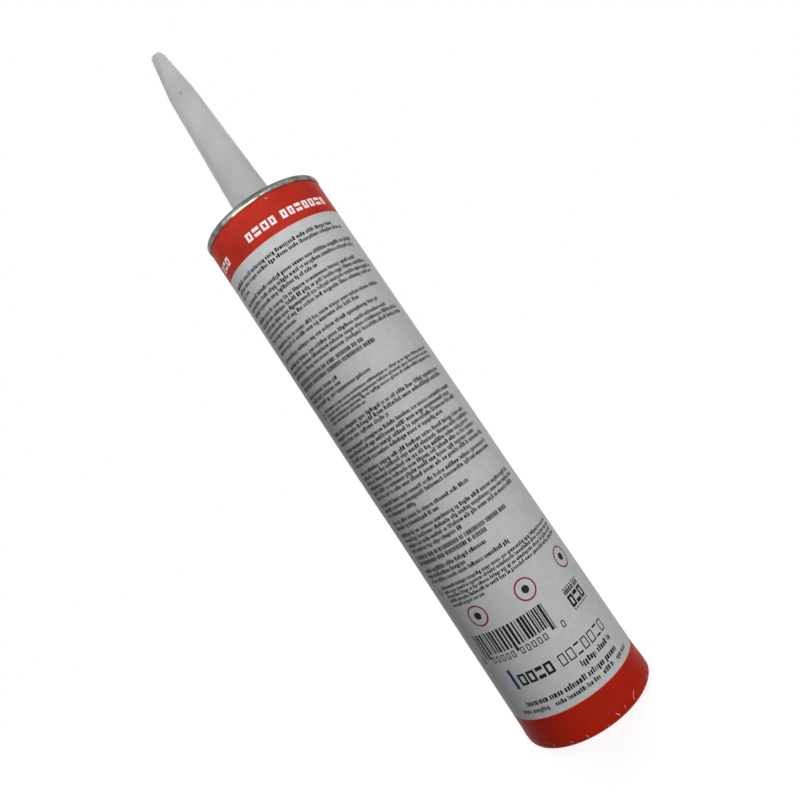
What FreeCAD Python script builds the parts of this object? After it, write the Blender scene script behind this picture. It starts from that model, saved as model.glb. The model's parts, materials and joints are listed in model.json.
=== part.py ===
"""Caulk cartridge: a board tube with a printed wrap, a crimped tin front end, a moulded nozzle,
a foil seal, the sealant that it holds and the tin plunger that pushes the sealant out.

The cartridge stands on its rolled rear edge. Z is the tube's axis, from the rear edge to the nozzle's
tip, and the origin is the middle of the rear edge. The printed side faces -Y. Millimetres throughout.
"""

import FreeCAD
import Part
import math
import os
import Sketcher

# Driving dimensions, each written once
SIZES = {
    # Tube and wrap
    "barrel_length": 216.3,
    "barrel_diameter": 49.8,
    "label_thickness": 0.15,
    "board_thickness": 1.0,
    "label_lap_width": 6.0,
    "label_lap_setback": 2.0,
    # Rear edge, rolled inwards
    "rear_roll_radius": 2.0,
    "rear_turn_radius": 1.5,
    "rear_flat_width": 0.5,
    "rear_lip_height": 4.5,
    "rear_bead_height": 3.8,
    "rear_bead_width": 1.4,
    "rear_bead_rise": 0.15,
    "label_edge_angle": 60,
    # Front end, a tin stamping crimped over the tube
    "tin_thickness": 0.28,
    "seam_height": 2.4,
    "seam_clearance": 0.05,
    "crimp_radius": 1.1,
    "crimp_drop": 0.8,
    "neck_depth": 0.3,
    "neck_length": 0.9,
    "panel_recess": 4.6,
    "panel_corner_radius": 0.8,
    "bead_radius": 18.6,
    "bead_width": 2.4,
    "bead_height": 0.7,
    "collar_height": 0.9,
    "collar_clearance": 0.12,
    "collar_corner_radius": 0.5,
    # Nozzle
    "nozzle_root_radius": 9.05,
    "nozzle_bend_height": 64.1,
    "nozzle_bend_radius": 5.6,
    "nozzle_height": 84.2,
    "nozzle_tip_radius": 2.65,
    "nozzle_tip_crown": 0.1,
    "nozzle_bevel_inset": 1.0,
    "nozzle_bevel_length": 2.1,
    "nozzle_bevel_slope": 32.5,
    "nozzle_bevel_overrun": 1.0,
    "nozzle_wall": 1.4,
    "nozzle_tip_wall": 2.6,
    "flange_radius": 13.5,
    "flange_thickness": 1.6,
    # Foil seal under the nozzle
    "foil_radius": 12.5,
    "foil_thickness": 0.12,
    # Sealant and plunger
    "fill_length": 172.0,
    "fill_clearance": 0.3,
    "plunger_tin": 0.3,
    "plunger_clearance": 0.1,
    "plunger_height": 13.0,
    "plunger_corner_radius": 2.0,
    "plunger_hem_radius": 0.8,
    "well_radius": 15.5,
    "well_depth": 2.4,
    "well_slope_run": 1.2,
}

# Sizes worked out from the driving dimensions, in the order that they need each other
DERIVED = {
    "label_radius": "Sizes.barrel_diameter / 2",
    "tube_radius": "label_radius - Sizes.label_thickness",
    "bore_radius": "tube_radius - Sizes.board_thickness",
    "roll_centre_radius": "tube_radius - Sizes.rear_roll_radius",
    "roll_turn_radius": "roll_centre_radius - Sizes.rear_flat_width",
    "throat_radius": "roll_turn_radius - Sizes.rear_turn_radius",
    "bead_top": "Sizes.rear_bead_height + Sizes.rear_bead_width / 2",
    "bead_bottom": "Sizes.rear_bead_height - Sizes.rear_bead_width / 2",
    "label_roll_radius": "Sizes.rear_roll_radius + Sizes.label_thickness",
    "lap_radius": "label_radius + Sizes.label_thickness",
    "skirt_inner_radius": "label_radius + Sizes.seam_clearance",
    "skirt_radius": "skirt_inner_radius + Sizes.tin_thickness",
    "chuck_radius": "bore_radius - Sizes.seam_clearance",
    "chuck_inner_radius": "chuck_radius - Sizes.tin_thickness",
    "seam_round": "(skirt_radius - chuck_inner_radius) / 2",
    "seam_middle_radius": "chuck_inner_radius + seam_round",
    "seam_middle_height": "Sizes.barrel_length - seam_round",
    "tube_top": "seam_middle_height - Sizes.seam_clearance",
    "hem_height": "Sizes.barrel_length - Sizes.seam_height",
    "crimp_centre_radius": "skirt_radius - Sizes.crimp_radius",
    "crimp_centre_height": "hem_height + Sizes.crimp_drop",
    "crimp_share": "sqrt(1 - (Sizes.crimp_drop / Sizes.crimp_radius) ^ 2)",
    "crimp_inner_radius": "Sizes.crimp_radius - Sizes.tin_thickness",
    "neck_radius": "label_radius - Sizes.neck_depth",
    "neck_low_height": "hem_height - Sizes.neck_length",
    "neck_board_radius": "neck_radius - Sizes.label_thickness",
    "panel_top": "Sizes.barrel_length - Sizes.panel_recess",
    "panel_underside": "panel_top - Sizes.tin_thickness",
    "collar_radius": "Sizes.nozzle_root_radius + Sizes.collar_clearance",
    "nozzle_seat": "panel_underside - Sizes.flange_thickness",
    "nozzle_bore_radius": "Sizes.nozzle_root_radius - Sizes.nozzle_wall",
    "nozzle_bend_bore": "Sizes.nozzle_bend_radius - Sizes.nozzle_wall",
    "nozzle_tip_bore": "Sizes.nozzle_tip_radius - Sizes.nozzle_wall",
    "nozzle_top": "Sizes.flange_thickness + Sizes.nozzle_height",
    "bevel_top": "nozzle_top + Sizes.nozzle_bevel_overrun",
    "bevel_foot": "nozzle_top - Sizes.nozzle_bevel_length - Sizes.nozzle_bevel_overrun",
    "bevel_lean": "tan(Sizes.nozzle_bevel_slope)",
    "bevel_start": "Sizes.nozzle_tip_radius - Sizes.nozzle_bevel_inset",
    "foil_seat": "nozzle_seat - Sizes.foil_thickness",
    "plunger_radius": "bore_radius - Sizes.plunger_clearance",
    "plunger_face": "panel_underside - Sizes.fill_length",
    "plunger_rear": "plunger_face - Sizes.plunger_height",
    "well_floor_radius": "Sizes.well_radius - Sizes.well_slope_run",
    "fill_radius": "bore_radius - Sizes.fill_clearance",
    "fill_corner_radius": "Sizes.plunger_corner_radius + Sizes.fill_clearance",
    "plunger_corner_centre": "plunger_radius - Sizes.plunger_corner_radius",
    "fill_bevel_radius": "plunger_corner_centre + (sqrt(2) - 1) * fill_corner_radius",
    "fill_bevel_height":
        "plunger_face - Sizes.plunger_corner_radius + sqrt(2) * fill_corner_radius"
        " + plunger_corner_centre - fill_radius",
}

FULL_TURN = 360.0
COUNTER_CLOCKWISE = 1
CLOCKWISE = -1


def make_sheets(doc):
    """Puts the driving sizes in one sheet and the worked-out sizes in another, each cell with an alias."""
    sizes = doc.addObject("Spreadsheet::Sheet", "Sizes")
    for row, (alias, value) in enumerate(SIZES.items(), start=1):
        sizes.set(f"A{row}", alias.replace("_", " "))
        sizes.set(f"B{row}", str(value))
        sizes.setAlias(f"B{row}", alias)
    doc.recompute()
    derived = doc.addObject("Spreadsheet::Sheet", "Derived")
    for row, (alias, formula) in enumerate(DERIVED.items(), start=1):
        derived.set(f"A{row}", alias.replace("_", " "))
        derived.setAlias(f"B{row}", alias)
        derived.set(f"B{row}", "=" + formula)
    doc.recompute()
    return derived


def origin_plane(body, role):
    """The body's own origin plane with that role, such as XZ_Plane."""
    return next(f for f in body.Origin.OriginFeatures if f.Role == role)


def point_on_axis(sketch, axis, edge, vertex):
    """Ties a sketch point to the sketch's own horizontal (-1) or vertical (-2) axis."""
    sketch.addConstraint(Sketcher.Constraint("PointOnObject", edge, vertex, axis))


def bind_place(sketch, edge, vertex, name, radius, height):
    """Places a sketch point by two named distances from the origin, each driven by an expression.

    radius or height may be None, which leaves that direction free.
    """
    directions = (("DistanceX", radius, "radius", -2), ("DistanceY", height, "height", -1))
    for kind, expression, word, axis in directions:
        if expression is None:
            continue
        if expression == "0":
            point_on_axis(sketch, axis, edge, vertex)
            continue
        value = float(sketch.evalExpression(expression))
        index = sketch.addConstraint(Sketcher.Constraint(kind, -1, 1, edge, vertex, value))
        sketch.renameConstraint(index, f"{name}_{word}")
        sketch.setExpression(f"Constraints.{name}_{word}", expression)


def draw_outline(body, name, corners, arcs=None, plane="XZ_Plane"):
    """Draws one closed outline on one of the body's origin planes, whose vertical axis is the tube's.

    corners lists (radius, height) pairs of expressions in order round the outline. arcs maps the
    number of an edge to (centre radius, centre height, turn); every other edge is straight.
    """
    arcs = arcs or {}
    sketch = body.newObject("Sketcher::SketchObject", name)
    sketch.AttachmentSupport = (origin_plane(body, plane), [""])
    sketch.MapMode = "FlatFace"
    places = [
        FreeCAD.Vector(float(sketch.evalExpression(r)), float(sketch.evalExpression(h)), 0)
        for r, h in corners
    ]
    ends = []
    for i, start in enumerate(places):
        stop = places[(i + 1) % len(places)]
        if i not in arcs:
            sketch.addGeometry(Part.LineSegment(start, stop), False)
            ends.append((1, 2))
            continue
        centre_radius, centre_height, turn = arcs[i]
        centre = FreeCAD.Vector(
            float(sketch.evalExpression(centre_radius)), float(sketch.evalExpression(centre_height)), 0
        )
        first, last = (start, stop) if turn == COUNTER_CLOCKWISE else (stop, start)
        angles = [math.atan2(p.y - centre.y, p.x - centre.x) for p in (first, last)]
        circle = Part.Circle(centre, FreeCAD.Vector(0, 0, 1), (first - centre).Length)
        sketch.addGeometry(Part.ArcOfCircle(circle, angles[0], angles[1]), False)
        ends.append((1, 2) if turn == COUNTER_CLOCKWISE else (2, 1))
    for i, (_, end) in enumerate(ends):
        following = (i + 1) % len(ends)
        joined = Sketcher.Constraint("Coincident", i, end, following, ends[following][0])
        sketch.addConstraint(joined)
    for i, (radius, height) in enumerate(corners):
        bind_place(sketch, i, ends[i][0], f"corner_{i}", radius, height)
    for i, (centre_radius, centre_height, _) in arcs.items():
        chord = places[(i + 1) % len(places)] - places[i]
        if abs(chord.x) > abs(chord.y):
            bind_place(sketch, i, 3, f"centre_{i}", None, centre_height)
        else:
            bind_place(sketch, i, 3, f"centre_{i}", centre_radius, None)
    return sketch


def turn(body, name, sketch, angle=None):
    """Revolves a half section about the tube's axis: a full turn, or evenly either side by an angle."""
    feature = body.newObject("PartDesign::Revolution", name)
    feature.Profile = sketch
    feature.ReferenceAxis = (sketch, ["V_Axis"])
    feature.Angle = FULL_TURN
    if angle is not None:
        feature.Midplane = True
        feature.setExpression("Angle", angle)
    sketch.Visibility = False
    return feature


def new_body(doc, label, seat=None):
    """A body for one sub-part. seat is the expression for the height that its own origin sits at."""
    body = doc.addObject("PartDesign::Body", label)
    body.Label = label
    if seat:
        body.setExpression("Placement.Base.z", seat)
    return body


def make_barrel_tube(doc):
    """The wound board tube: straight wall, necked under the crimp, rear edge rolled in to a lip."""
    body = new_body(doc, "barrel_tube")
    outer = "Derived.tube_radius"
    bore = "Derived.bore_radius"
    throat = "Derived.throat_radius"
    roll = "Sizes.rear_roll_radius"
    turn_in = "Sizes.rear_turn_radius"
    wall = "Sizes.board_thickness"
    corners = [
        (bore, roll),
        (bore, "Derived.tube_top"),
        (outer, "Derived.tube_top"),
        (outer, "Derived.crimp_centre_height"),
        ("Derived.neck_board_radius", "Derived.hem_height + Sizes.neck_depth"),
        ("Derived.neck_board_radius", "Derived.hem_height"),
        (outer, "Derived.neck_low_height"),
        (outer, "Derived.bead_top"),
        (f"{outer} + Sizes.rear_bead_rise", "Sizes.rear_bead_height"),
        (outer, "Derived.bead_bottom"),
        (outer, roll),
        ("Derived.roll_centre_radius", "0"),
        ("Derived.roll_turn_radius", "0"),
        (throat, turn_in),
        (throat, "Sizes.rear_lip_height"),
        (f"{throat} + {wall}", "Sizes.rear_lip_height"),
        (f"{throat} + {wall}", turn_in),
        ("Derived.roll_turn_radius", wall),
        ("Derived.roll_centre_radius", wall),
    ]
    arcs = {
        10: ("Derived.roll_centre_radius", roll, CLOCKWISE),
        12: ("Derived.roll_turn_radius", turn_in, CLOCKWISE),
        16: ("Derived.roll_turn_radius", turn_in, COUNTER_CLOCKWISE),
        18: ("Derived.roll_centre_radius", roll, COUNTER_CLOCKWISE),
    }
    turn(body, "tube_wall", draw_outline(body, "tube_section", corners, arcs))
    return body


def make_printed_label(doc):
    """The printed wrap, glued round the tube and part of the way round its rolled edge, lapped behind."""
    body = new_body(doc, "printed_label")
    outer = "Derived.label_radius"
    inner = "Derived.tube_radius"
    roll = "Sizes.rear_roll_radius"
    label_roll = "Derived.label_roll_radius"
    centre = "Derived.roll_centre_radius"
    rise = "Sizes.rear_bead_rise"
    across = "cos(Sizes.label_edge_angle)"
    down = "sin(Sizes.label_edge_angle)"
    corners = [
        (inner, roll),
        (inner, "Derived.bead_bottom"),
        (f"{inner} + {rise}", "Sizes.rear_bead_height"),
        (inner, "Derived.bead_top"),
        (inner, "Derived.neck_low_height"),
        ("Derived.neck_board_radius", "Derived.hem_height"),
        ("Derived.neck_board_radius", "Derived.hem_height + Sizes.neck_depth"),
        (inner, "Derived.crimp_centre_height"),
        (inner, "Derived.tube_top"),
        (outer, "Derived.tube_top"),
        (outer, "Derived.crimp_centre_height"),
        ("Derived.neck_radius", "Derived.hem_height + Sizes.neck_depth"),
        ("Derived.neck_radius", "Derived.hem_height"),
        (outer, "Derived.neck_low_height"),
        (outer, "Derived.bead_top"),
        (f"{outer} + {rise}", "Sizes.rear_bead_height"),
        (outer, "Derived.bead_bottom"),
        (outer, roll),
        (f"{centre} + {label_roll} * {across}", f"{roll} - {label_roll} * {down}"),
        (f"{centre} + {roll} * {across}", f"{roll} - {roll} * {down}"),
    ]
    arcs = {
        17: (centre, roll, CLOCKWISE),
        19: (centre, roll, COUNTER_CLOCKWISE),
    }
    turn(body, "label_wrap", draw_outline(body, "label_section", corners, arcs))
    low = "Derived.bead_top + Sizes.label_lap_setback"
    high = "Derived.neck_low_height"
    sunk = f"{outer} - Sizes.label_thickness / 2"
    lap = [
        (sunk, low),
        ("Derived.lap_radius", low),
        ("Derived.lap_radius", high),
        (sunk, high),
    ]
    lap_angle = "Sizes.label_lap_width / Derived.label_radius * 180 / pi"
    turn(body, "label_lap", draw_outline(body, "lap_section", lap, plane="YZ_Plane"), lap_angle)
    return body


def make_front_end(doc):
    """The stamped tin end: hem, skirt, rounded seam, chuck wall, beaded panel and turned-up collar."""
    body = new_body(doc, "front_end")
    tin = "Sizes.tin_thickness"
    top = "Derived.panel_top"
    under = "Derived.panel_underside"
    seam_mid = "Derived.seam_middle_height"
    corner = "Sizes.panel_corner_radius"
    inner_chuck = "Derived.chuck_inner_radius"
    collar = "Derived.collar_radius"
    collar_corner = "Sizes.collar_corner_radius"
    collar_top = f"{top} + Sizes.collar_height"
    bead_out = "Sizes.bead_radius + Sizes.bead_width / 2"
    bead_in = "Sizes.bead_radius - Sizes.bead_width / 2"
    crimp_r = "Derived.crimp_centre_radius"
    crimp_h = "Derived.crimp_centre_height"
    crimp_out = f"{crimp_r} + Sizes.crimp_radius * Derived.crimp_share"
    crimp_in = f"{crimp_r} + Derived.crimp_inner_radius * Derived.crimp_share"
    crimp_in_h = f"{crimp_h} - Sizes.crimp_drop * Derived.crimp_inner_radius / Sizes.crimp_radius"
    corners = [
        (crimp_out, "Derived.hem_height"),
        ("Derived.skirt_radius", crimp_h),
        ("Derived.skirt_radius", seam_mid),
        (inner_chuck, seam_mid),
        (inner_chuck, f"{top} + {corner}"),
        (f"{inner_chuck} - {corner}", top),
        (bead_out, top),
        (f"{bead_out} - Sizes.bead_height", f"{top} + Sizes.bead_height"),
        (f"{bead_in} + Sizes.bead_height", f"{top} + Sizes.bead_height"),
        (bead_in, top),
        (f"{collar} + {tin} + {collar_corner}", top),
        (f"{collar} + {tin}", f"{top} + {collar_corner}"),
        (f"{collar} + {tin}", collar_top),
        (collar, collar_top),
        (collar, f"{top} + {collar_corner}"),
        (f"{collar} + {tin} + {collar_corner}", under),
        (f"{bead_in} + {tin} / 2", under),
        (f"{bead_in} + Sizes.bead_height + {tin} / 2", f"{under} + Sizes.bead_height"),
        (f"{bead_out} - Sizes.bead_height - {tin} / 2", f"{under} + Sizes.bead_height"),
        (f"{bead_out} - {tin} / 2", under),
        (f"{inner_chuck} - {corner}", under),
        ("Derived.chuck_radius", f"{top} + {corner}"),
        ("Derived.chuck_radius", seam_mid),
        ("Derived.skirt_inner_radius", seam_mid),
        ("Derived.skirt_inner_radius", crimp_h),
        (crimp_in, crimp_in_h),
    ]
    arcs = {
        0: (crimp_r, crimp_h, COUNTER_CLOCKWISE),
        2: ("Derived.seam_middle_radius", seam_mid, COUNTER_CLOCKWISE),
        4: (f"{inner_chuck} - {corner}", f"{top} + {corner}", CLOCKWISE),
        10: (f"{collar} + {tin} + {collar_corner}", f"{top} + {collar_corner}", CLOCKWISE),
        14: (f"{collar} + {tin} + {collar_corner}", f"{top} + {collar_corner}", COUNTER_CLOCKWISE),
        20: (f"{inner_chuck} - {corner}", f"{top} + {corner}", COUNTER_CLOCKWISE),
        22: ("Derived.seam_middle_radius", seam_mid, CLOCKWISE),
        24: (crimp_r, crimp_h, CLOCKWISE),
    }
    turn(body, "stamping", draw_outline(body, "end_section", corners, arcs))
    return body


def make_nozzle(doc):
    """The moulded nozzle: seat flange, long cone, steeper tip, closed end, slightly crowned, with one bevel."""
    body = new_body(doc, "nozzle", "Derived.nozzle_seat")
    root = "Sizes.flange_thickness"
    bend = f"{root} + Sizes.nozzle_bend_height"
    top = "Derived.nozzle_top"
    bore_end = f"{top} - Sizes.nozzle_tip_wall"
    radius = "Sizes.nozzle_tip_radius"
    crown = "Sizes.nozzle_tip_crown"
    crown_radius = f"({radius} ^ 2 + {crown} ^ 2) / (2 * {crown})"
    corners = [
        ("Derived.nozzle_bore_radius", "0"),
        ("Sizes.flange_radius", "0"),
        ("Sizes.flange_radius", root),
        ("Sizes.nozzle_root_radius", root),
        ("Sizes.nozzle_bend_radius", bend),
        (radius, f"{top} - {crown}"),
        ("0", top),
        ("0", bore_end),
        ("Derived.nozzle_tip_bore", bore_end),
        ("Derived.nozzle_bend_bore", bend),
    ]
    arcs = {5: ("0", f"{top} - {crown_radius}", COUNTER_CLOCKWISE)}
    turn(body, "moulding", draw_outline(body, "nozzle_section", corners, arcs))
    foot = f"Derived.bevel_start + ({top} - Derived.bevel_foot) * Derived.bevel_lean"
    beyond = [
        (f"Derived.bevel_start + ({top} - Derived.bevel_top) * Derived.bevel_lean", "Derived.bevel_top"),
        (foot, "Derived.bevel_foot"),
        (foot, "Derived.bevel_top"),
    ]
    bevel = body.newObject("PartDesign::Pocket", "tip_bevel")
    bevel.Profile = draw_outline(body, "bevel_section", beyond)
    bevel.Type = "ThroughAll"
    bevel.Midplane = True
    return body


def make_foil_seal(doc):
    """The foil disc bonded under the nozzle's flange, which is pierced before use."""
    body = new_body(doc, "foil_seal", "Derived.foil_seat")
    corners = [
        ("0", "0"),
        ("Sizes.foil_radius", "0"),
        ("Sizes.foil_radius", "Sizes.foil_thickness"),
        ("0", "Sizes.foil_thickness"),
    ]
    turn(body, "disc", draw_outline(body, "foil_section", corners))
    return body


def make_plunger(doc):
    """The drawn tin plunger: well that nests over the nozzle's flange, skirt, and hem at the open end."""
    body = new_body(doc, "plunger", "Derived.plunger_rear")
    radius = "Derived.plunger_radius"
    tin = "Sizes.plunger_tin"
    face = "Sizes.plunger_height"
    floor = f"{face} - Sizes.well_depth"
    corner = "Sizes.plunger_corner_radius"
    hem = "Sizes.plunger_hem_radius"
    corners = [
        ("0", floor),
        ("0", f"{floor} - {tin}"),
        (f"Derived.well_floor_radius + {tin}", f"{floor} - {tin}"),
        (f"Sizes.well_radius + {tin}", f"{face} - {tin}"),
        (f"{radius} - {corner}", f"{face} - {tin}"),
        (f"{radius} - {tin}", f"{face} - {corner}"),
        (f"{radius} - {tin}", hem),
        (f"{radius} - 2 * {hem} + {tin}", hem),
        (f"{radius} - 2 * {hem}", hem),
        (radius, hem),
        (radius, f"{face} - {corner}"),
        (f"{radius} - {corner}", face),
        ("Sizes.well_radius", face),
        ("Derived.well_floor_radius", floor),
    ]
    arcs = {
        4: (f"{radius} - {corner}", f"{face} - {corner}", CLOCKWISE),
        6: (f"{radius} - {hem}", hem, CLOCKWISE),
        8: (f"{radius} - {hem}", hem, COUNTER_CLOCKWISE),
        10: (f"{radius} - {corner}", f"{face} - {corner}", COUNTER_CLOCKWISE),
    }
    turn(body, "drawn_cup", draw_outline(body, "plunger_section", corners, arcs))
    return body


def make_sealant(doc):
    """The sealant, which fills the bore from the plunger's face to the front end and the foil seal."""
    body = new_body(doc, "sealant")
    gap = "Sizes.fill_clearance"
    face = f"Derived.plunger_face + {gap}"
    floor = f"Derived.plunger_face - Sizes.well_depth + {gap}"
    step = f"Sizes.flange_radius + {gap}"
    corners = [
        ("0", floor),
        (f"Derived.well_floor_radius - {gap}", floor),
        (f"Sizes.well_radius - {gap}", face),
        ("Derived.fill_bevel_radius", face),
        ("Derived.fill_radius", "Derived.fill_bevel_height"),
        ("Derived.fill_radius", f"Derived.panel_underside - {gap}"),
        (step, f"Derived.panel_underside - {gap}"),
        (step, f"Derived.foil_seat - {gap}"),
        ("0", f"Derived.foil_seat - {gap}"),
    ]
    turn(body, "fill", draw_outline(body, "sealant_section", corners))
    return body


def check(doc, bodies):
    """Stops with a message if a feature failed or a sub-part isn't one valid solid."""
    for item in doc.Objects:
        if "Invalid" in item.State or "Error" in item.State:
            raise RuntimeError(f"{item.Label} failed: {item.State}")
        if item.isDerivedFrom("Sketcher::SketchObject") and item.solve() != 0:
            raise RuntimeError(f"{item.Label} doesn't solve")
    for body in bodies:
        shape = body.Shape
        if shape.isNull() or not shape.isValid() or len(shape.Solids) != 1:
            raise RuntimeError(f"{body.Label} isn't one valid solid")


def main():
    """Builds the document, checks it and writes each sub-part to parts/."""
    doc = FreeCAD.newDocument("caulk_cartridge")
    make_sheets(doc)
    makers = [
        make_barrel_tube,
        make_printed_label,
        make_front_end,
        make_nozzle,
        make_foil_seal,
        make_sealant,
        make_plunger,
    ]
    bodies = [make(doc) for make in makers]
    doc.recompute()
    check(doc, bodies)
    os.makedirs("parts", exist_ok=True)
    for body in bodies:
        body.Shape.exportStep(f"parts/{body.Label}.step")
        box = body.Shape.BoundBox
        print(f"{body.Label}: z {box.ZMin:.2f} to {box.ZMax:.2f}, width {box.XLength:.2f},"
              f" volume {body.Shape.Volume / 1000:.2f} ml")


main()
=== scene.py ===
"""Visual model of a caulk cartridge: board tube, printed wrap, crimped tin end, nozzle and plunger.

Every piece is a turned surface, worked out in millimetres on a grid of angle and profile. Angle 0
faces -Y, the middle of the printed side, and grows towards +X. Heights grow from the rolled rear edge,
which the cartridge stands on, to the nozzle's tip.
"""

import json
import logging
import math
from dataclasses import dataclass
from enum import Enum
from typing import Any, Callable

import bpy
import numpy as np
from mathutils import Matrix, Vector

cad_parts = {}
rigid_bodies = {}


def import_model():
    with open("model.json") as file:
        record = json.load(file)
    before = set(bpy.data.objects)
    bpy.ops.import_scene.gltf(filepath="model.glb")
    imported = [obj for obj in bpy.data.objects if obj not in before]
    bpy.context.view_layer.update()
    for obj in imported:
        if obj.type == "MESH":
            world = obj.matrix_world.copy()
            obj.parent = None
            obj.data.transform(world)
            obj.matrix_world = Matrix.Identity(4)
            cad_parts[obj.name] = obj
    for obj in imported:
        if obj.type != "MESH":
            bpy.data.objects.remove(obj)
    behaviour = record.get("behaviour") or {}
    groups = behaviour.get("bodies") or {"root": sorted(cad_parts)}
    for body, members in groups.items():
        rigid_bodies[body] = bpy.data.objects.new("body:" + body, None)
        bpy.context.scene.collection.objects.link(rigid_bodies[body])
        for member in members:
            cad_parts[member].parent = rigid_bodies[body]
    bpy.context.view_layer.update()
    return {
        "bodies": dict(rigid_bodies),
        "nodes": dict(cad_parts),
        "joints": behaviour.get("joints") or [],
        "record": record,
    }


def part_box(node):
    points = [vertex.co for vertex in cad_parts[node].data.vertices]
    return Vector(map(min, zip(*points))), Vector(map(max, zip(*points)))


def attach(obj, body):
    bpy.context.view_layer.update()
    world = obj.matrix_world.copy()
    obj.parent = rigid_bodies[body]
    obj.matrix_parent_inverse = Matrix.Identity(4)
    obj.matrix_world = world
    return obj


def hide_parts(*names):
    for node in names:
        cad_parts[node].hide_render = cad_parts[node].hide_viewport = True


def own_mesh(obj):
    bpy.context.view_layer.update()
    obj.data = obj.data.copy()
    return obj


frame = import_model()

log = logging.getLogger("caulk_cartridge")

MM = 0.001
FULL_TURN = 2.0 * math.pi
CARTRIDGE = "cartridge"
PISTON = "piston"

Array = np.ndarray
Warp = Callable[[Array, Array, Array], tuple[Array, Array]]


class Ink(Enum):
    """The inks that the wrap is printed in."""

    BLACK = "black"
    GREY = "grey"
    WHITE = "white"
    RED = "red"
    BLUE = "blue"


class Sign(Enum):
    """Plain shapes that stand where a row of large characters would be."""

    FRAME = "frame"
    BARS = "bars"


def linear_colour(hex_code: str, alpha: float = 1.0) -> tuple[float, float, float, float]:
    """Turns an sRGB hex colour into the linear values that the shader works in.

    Args:
        hex_code: six hex digits, red first.
        alpha: the fourth value.

    Returns:
        Linear red, green, blue and alpha. Up to 0.04045 a value is divided by 12.92, and above that
        it is (value + 0.055) / 1.055 to the power 2.4.
    """
    values = [int(hex_code[i : i + 2], 16) / 255 for i in (0, 2, 4)]
    linear = [v / 12.92 if v <= 0.04045 else ((v + 0.055) / 1.055) ** 2.4 for v in values]
    return (linear[0], linear[1], linear[2], alpha)


def mm_box(node: str) -> tuple[Array, Array]:
    """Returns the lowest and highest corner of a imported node, in millimetres."""
    low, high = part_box(node)
    return np.array(low) / MM, np.array(high) / MM


def arc(centre: tuple[float, float], radius: float, start: float, stop: float, steps: int = 8) -> Array:
    """Points of a circular arc in the radius-height plane.

    Each point is the centre plus the arc's radius times (cosine, sine) of an angle that runs evenly
    from start to stop.

    Args:
        centre: radius and height of the arc's centre.
        radius: the arc's own radius.
        start: first angle in degrees, counted from outwards towards up.
        stop: last angle in degrees.
        steps: how many chords the arc has.

    Returns:
        Array of steps + 1 rows of radius and height.
    """
    angles = np.radians(np.linspace(start, stop, steps + 1))
    return np.stack([centre[0] + radius * np.cos(angles), centre[1] + radius * np.sin(angles)], axis=1)


def profile_of(*parts: Any, longest: float = 1000.0) -> Array:
    """Joins points and arcs into one outline, and divides its long straight runs evenly.

    Args:
        parts: single (radius, height) points, or arrays of them, in order.
        longest: the longest chord left, in millimetres.

    Returns:
        Array of rows of radius and height. Between two corners the points are the first corner plus
        equal shares of the way to the second.
    """
    corners = np.vstack([np.atleast_2d(np.asarray(part, float)) for part in parts])
    keep = np.r_[True, np.linalg.norm(np.diff(corners, axis=0), axis=1) > 1e-6]
    corners = corners[keep]
    rows = [corners[:1]]
    for first, second in zip(corners[:-1], corners[1:]):
        pieces = max(1, math.ceil(np.linalg.norm(second - first) / longest))
        shares = np.arange(1, pieces + 1)[:, None] / pieces
        rows.append(first + (second - first) * shares)
    return np.vstack(rows)


def wobble(angle: Array, seed: int, orders: int, lowest: int = 2) -> Array:
    """A smooth periodic ripple round the axis, between about -1 and 1.

    It is a sum of cosines of whole multiples of the angle, each with its own seeded phase and with a
    height of one over its multiple, divided by the sum of those heights.

    Args:
        angle: angles in radians.
        seed: which ripple.
        orders: how many multiples are added.
        lowest: the first multiple.

    Returns:
        The ripple at each angle.
    """
    phases = np.random.default_rng(seed).uniform(0.0, FULL_TURN, orders)
    multiples = np.arange(lowest, lowest + orders)
    waves = np.cos(angle[..., None] * multiples + phases) / multiples
    return waves.sum(axis=-1) / (1.0 / multiples).sum() * 2.0


def smooth_step(value: Array, start: float, stop: float) -> Array:
    """Rises from 0 at start to 1 at stop as 3t squared minus 2t cubed, t being the share of the way."""
    share = np.clip((value - start) / (stop - start), 0.0, 1.0)
    return share * share * (3.0 - 2.0 * share)


def mesh_from(name: str, vertices: Array, faces: list[Array], sharp_degrees: float = 40.0) -> bpy.types.Mesh:
    """Puts vertices in millimetres and faces into a new smooth-shaded mesh in metres.

    Args:
        name: the mesh's name.
        vertices: rows of x, y, z in millimetres.
        faces: arrays of vertex numbers, one array for each number of corners.
        sharp_degrees: edges that bend more than this stay sharp.

    Returns:
        The mesh.
    """
    mesh = bpy.data.meshes.new(name)
    listed = [face for block in faces for face in block.tolist()]
    mesh.from_pydata((vertices * MM).tolist(), [], listed)
    mesh.polygons.foreach_set("use_smooth", np.ones(len(mesh.polygons), dtype=bool))
    mesh.set_sharp_from_angle(angle=math.radians(sharp_degrees))
    mesh.update()
    return mesh


def even_angles(columns: int, extra: tuple[float, ...] = ()) -> Array:
    """Evenly spaced angles round the axis in radians, with extra ones in degrees put in between."""
    even = np.linspace(-math.pi, math.pi, columns, endpoint=False)
    more = (np.radians(np.array(extra, float)) + math.pi) % FULL_TURN - math.pi
    return np.unique(np.round(np.r_[even, more], 9))


def turned_grid(profile: Array, angles: Array, warp: Warp | None = None) -> Array:
    """Turns rows of radius and height about the axis.

    A point at radius r, angle a and height h is (r sin a, -r cos a, h).

    Args:
        profile: rows of radius and height in millimetres.
        angles: the angles of the columns in radians.
        warp: gives the changed radius and height from radius, angle and height.

    Returns:
        Array of rows by columns by x, y, z.
    """
    radius = np.repeat(profile[:, :1], len(angles), axis=1)
    height = np.repeat(profile[:, 1:], len(angles), axis=1)
    angle = np.repeat(angles[None, :], len(profile), axis=0)
    if warp is not None:
        radius, height = warp(radius, angle, height)
    return np.stack([radius * np.sin(angle), -radius * np.cos(angle), height], axis=-1)


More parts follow.
